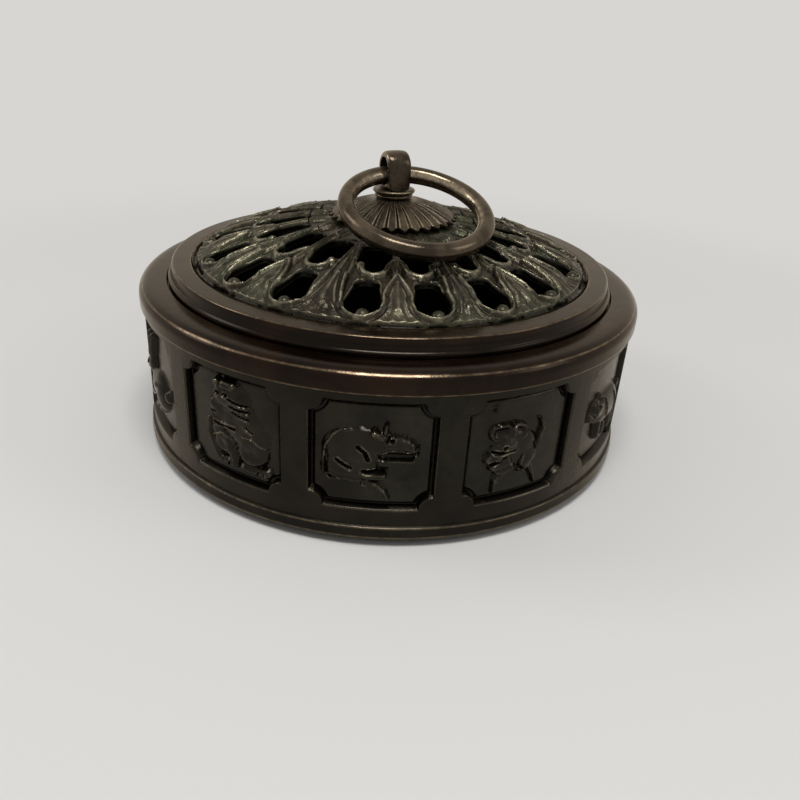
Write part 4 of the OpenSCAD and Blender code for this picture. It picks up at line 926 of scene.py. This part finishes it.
def buildPlaque(k, name):
    p, w = plaque, plaqueWearAndShading
    across, tall = wall["halfWidth"] - p["inset"], wall["halfHeight"] - p["inset"]
    columns, rows = np.linspace(-across, across, p["columns"]), np.linspace(-tall, tall, p["rows"])
    x, z = np.meshgrid(columns, rows, indexing="ij")
    rise, paintedShading = reliefHeight(figures[name], cuts[name], x, z + wall["panelHeight"] - p["figureHeight"])
    edge = ramp(insidePanel(x, z), p["inset"], p["inset"] + p["edgeSpan"])
    radius = p["edge"] + (p["ground"] - p["edge"] + p["relief"] * rise) * edge
    sheets = (radius, np.full_like(x, p["back"]))
    front, back = (onWall(r, x, z, panelBearing(k)).reshape(-1, 3) for r in sheets)
    points, faces = closeSheet(front, gridQuads(*x.shape), back)
    # lighter on crests and high relief, painted shade in the grooves and at the border
    wearAndShading = w["plain"] + w["crease"] * ridgeShare(rise, w["creaseScale"]) + w["rise"] * rise - w["paintedShading"] * paintedShading
    wearAndShading = (np.clip(wearAndShading, -1, 1) * edge - w["edge"] * (1 - edge)).ravel()
    makePiece("panel." + name, [(points, faces, np.concatenate([wearAndShading, 0 * wearAndShading]))], "panelBronze", "bowl",
              ["panel_" + name], creaseDeg=40)


for k, name in enumerate(animals):
    buildPlaque(k, name)

# Plain CAD nodes that stay: floor of the bowl, lid flange, washer.
for node in ("base_plate", "lid_flange", "eye_washer"):
    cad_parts[node].data.materials.clear()
    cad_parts[node].data.materials.append(bronzes["insideBronze"])

# Studio: a pale floor that fades into a backdrop of its own colour, soft lamps, and the photograph's camera.
studio = dict(floorHalf=2.0, floorRough=0.8, pale=(0.68, 0.67, 0.65, 1), fade=(0.13, 0.38), ambient=0.36)
lamps = [("keyLamp", (0.02, -0.3, 0.95), (0.42, 0.24), 5.6), ("fillLamp", (0.8, -0.2, 0.6), (0.35, 0.35), 0.9),
         ("sideLamp", (-0.8, 0.1, 0.6), (0.35, 0.35), 1.3)]
photoPixels = 800
camera = dict(focalPixels=747, sensor=36, elevation=27.05, distance=0.252, aim=0.006, roll=2.96,
              shiftPixels=(16.5, -9), clip=(0.01, 50))


def seenDirectly(tree):
    # share of rays that show the backdrop: from the camera, by reflection or through glass
    rays = addNode(tree, "LightPath", {}).outputs
    total = rays["Is Camera Ray"]
    for kind in ("Is Glossy Ray", "Is Transmission Ray"):
        total = addNode(tree, "Math", {0: total, 1: rays[kind]}, operation="MAXIMUM").outputs[0]
    return total


def paleFloor():
    # lit like paper round the object; farther out it fades into the backdrop's colour
    material, tree, shader = newMaterial("paleFloor")
    shader.inputs["Base Color"].default_value = studio["pale"]
    shader.inputs["Roughness"].default_value = studio["floorRough"]
    place = addNode(tree, "TexCoord", {}).outputs["Object"]
    length = addNode(tree, "VectorMath", {0: place}, operation="LENGTH").outputs["Value"]
    near, far = studio["fade"]
    fade = addNode(tree, "MapRange", {"Value": length, "From Min": near, "From Max": far},
                   interpolation_type="SMOOTHSTEP").outputs["Result"]
    share = addNode(tree, "Math", {0: fade, 1: seenDirectly(tree)}, operation="MULTIPLY").outputs[0]
    glow = addNode(tree, "Emission", {"Color": studio["pale"]}).outputs[0]
    mix = addNode(tree, "MixShader", {0: share, 1: shader.outputs[0], 2: glow})
    tree.links.new(mix.outputs[0], tree.nodes["Material Output"].inputs["Surface"])
    return material


def buildStudio():
    half = studio["floorHalf"]
    mesh = bpy.data.meshes.new("floor")
    corners = [(-half, -half, 0), (half, -half, 0), (half, half, 0), (-half, half, 0)]
    mesh.from_pydata(corners, [], [(0, 1, 2, 3)])
    mesh.materials.append(paleFloor())
    floor = bpy.data.objects.new("floor", mesh)
    bpy.context.scene.collection.objects.link(floor)
    world = bpy.data.worlds.new("studioWorld")
    world.use_nodes = True
    bpy.context.scene.world = world
    tree = world.node_tree
    ambient = (studio["ambient"],) * 3 + (1,)
    seen = addNode(tree, "Mix", {0: seenDirectly(tree), 6: ambient, 7: studio["pale"]}, data_type="RGBA")
    tree.links.new(seen.outputs[2], tree.nodes["Background"].inputs["Color"])
    for name, place, size, power in lamps:
        light = bpy.data.lights.new(name, "AREA")
        light.shape, light.energy = "RECTANGLE", power
        light.size, light.size_y = size
        lamp = bpy.data.objects.new(name, light)
        lamp.location = place
        lamp.rotation_euler = (-lamp.location).to_track_quat("-Z", "Y").to_euler()
        bpy.context.scene.collection.objects.link(lamp)


def buildCamera():
    # back = (0, -cos e, sin e); right and up are turned about it by the roll
    c = camera
    elevation, roll = math.radians(c["elevation"]), math.radians(c["roll"])
    back = np.array([0, -math.cos(elevation), math.sin(elevation)])
    right = np.array([1.0, 0, 0])
    up = np.cross(back, right)
    sideways = math.cos(roll) * right + math.sin(roll) * up
    upwards = math.cos(roll) * up - math.sin(roll) * right
    data = bpy.data.cameras.new("photoCamera")
    data.lens, data.sensor_width = c["focalPixels"] / photoPixels * c["sensor"], c["sensor"]
    data.shift_x, data.shift_y = (pixels / photoPixels for pixels in c["shiftPixels"])
    data.clip_start, data.clip_end = c["clip"]
    view = bpy.data.objects.new("photoCamera", data)
    matrix = np.eye(4)
    matrix[:3, :3] = np.array([sideways, upwards, back]).T
    matrix[:3, 3] = back * c["distance"] + np.array([0, 0, c["aim"]])
    view.matrix_world = Matrix(matrix.tolist())
    bpy.context.scene.collection.objects.link(view)
    bpy.context.scene.camera = view


buildStudio()
buildCamera()
bpy.context.scene.view_settings.view_transform = "Standard"

print("scene ready")
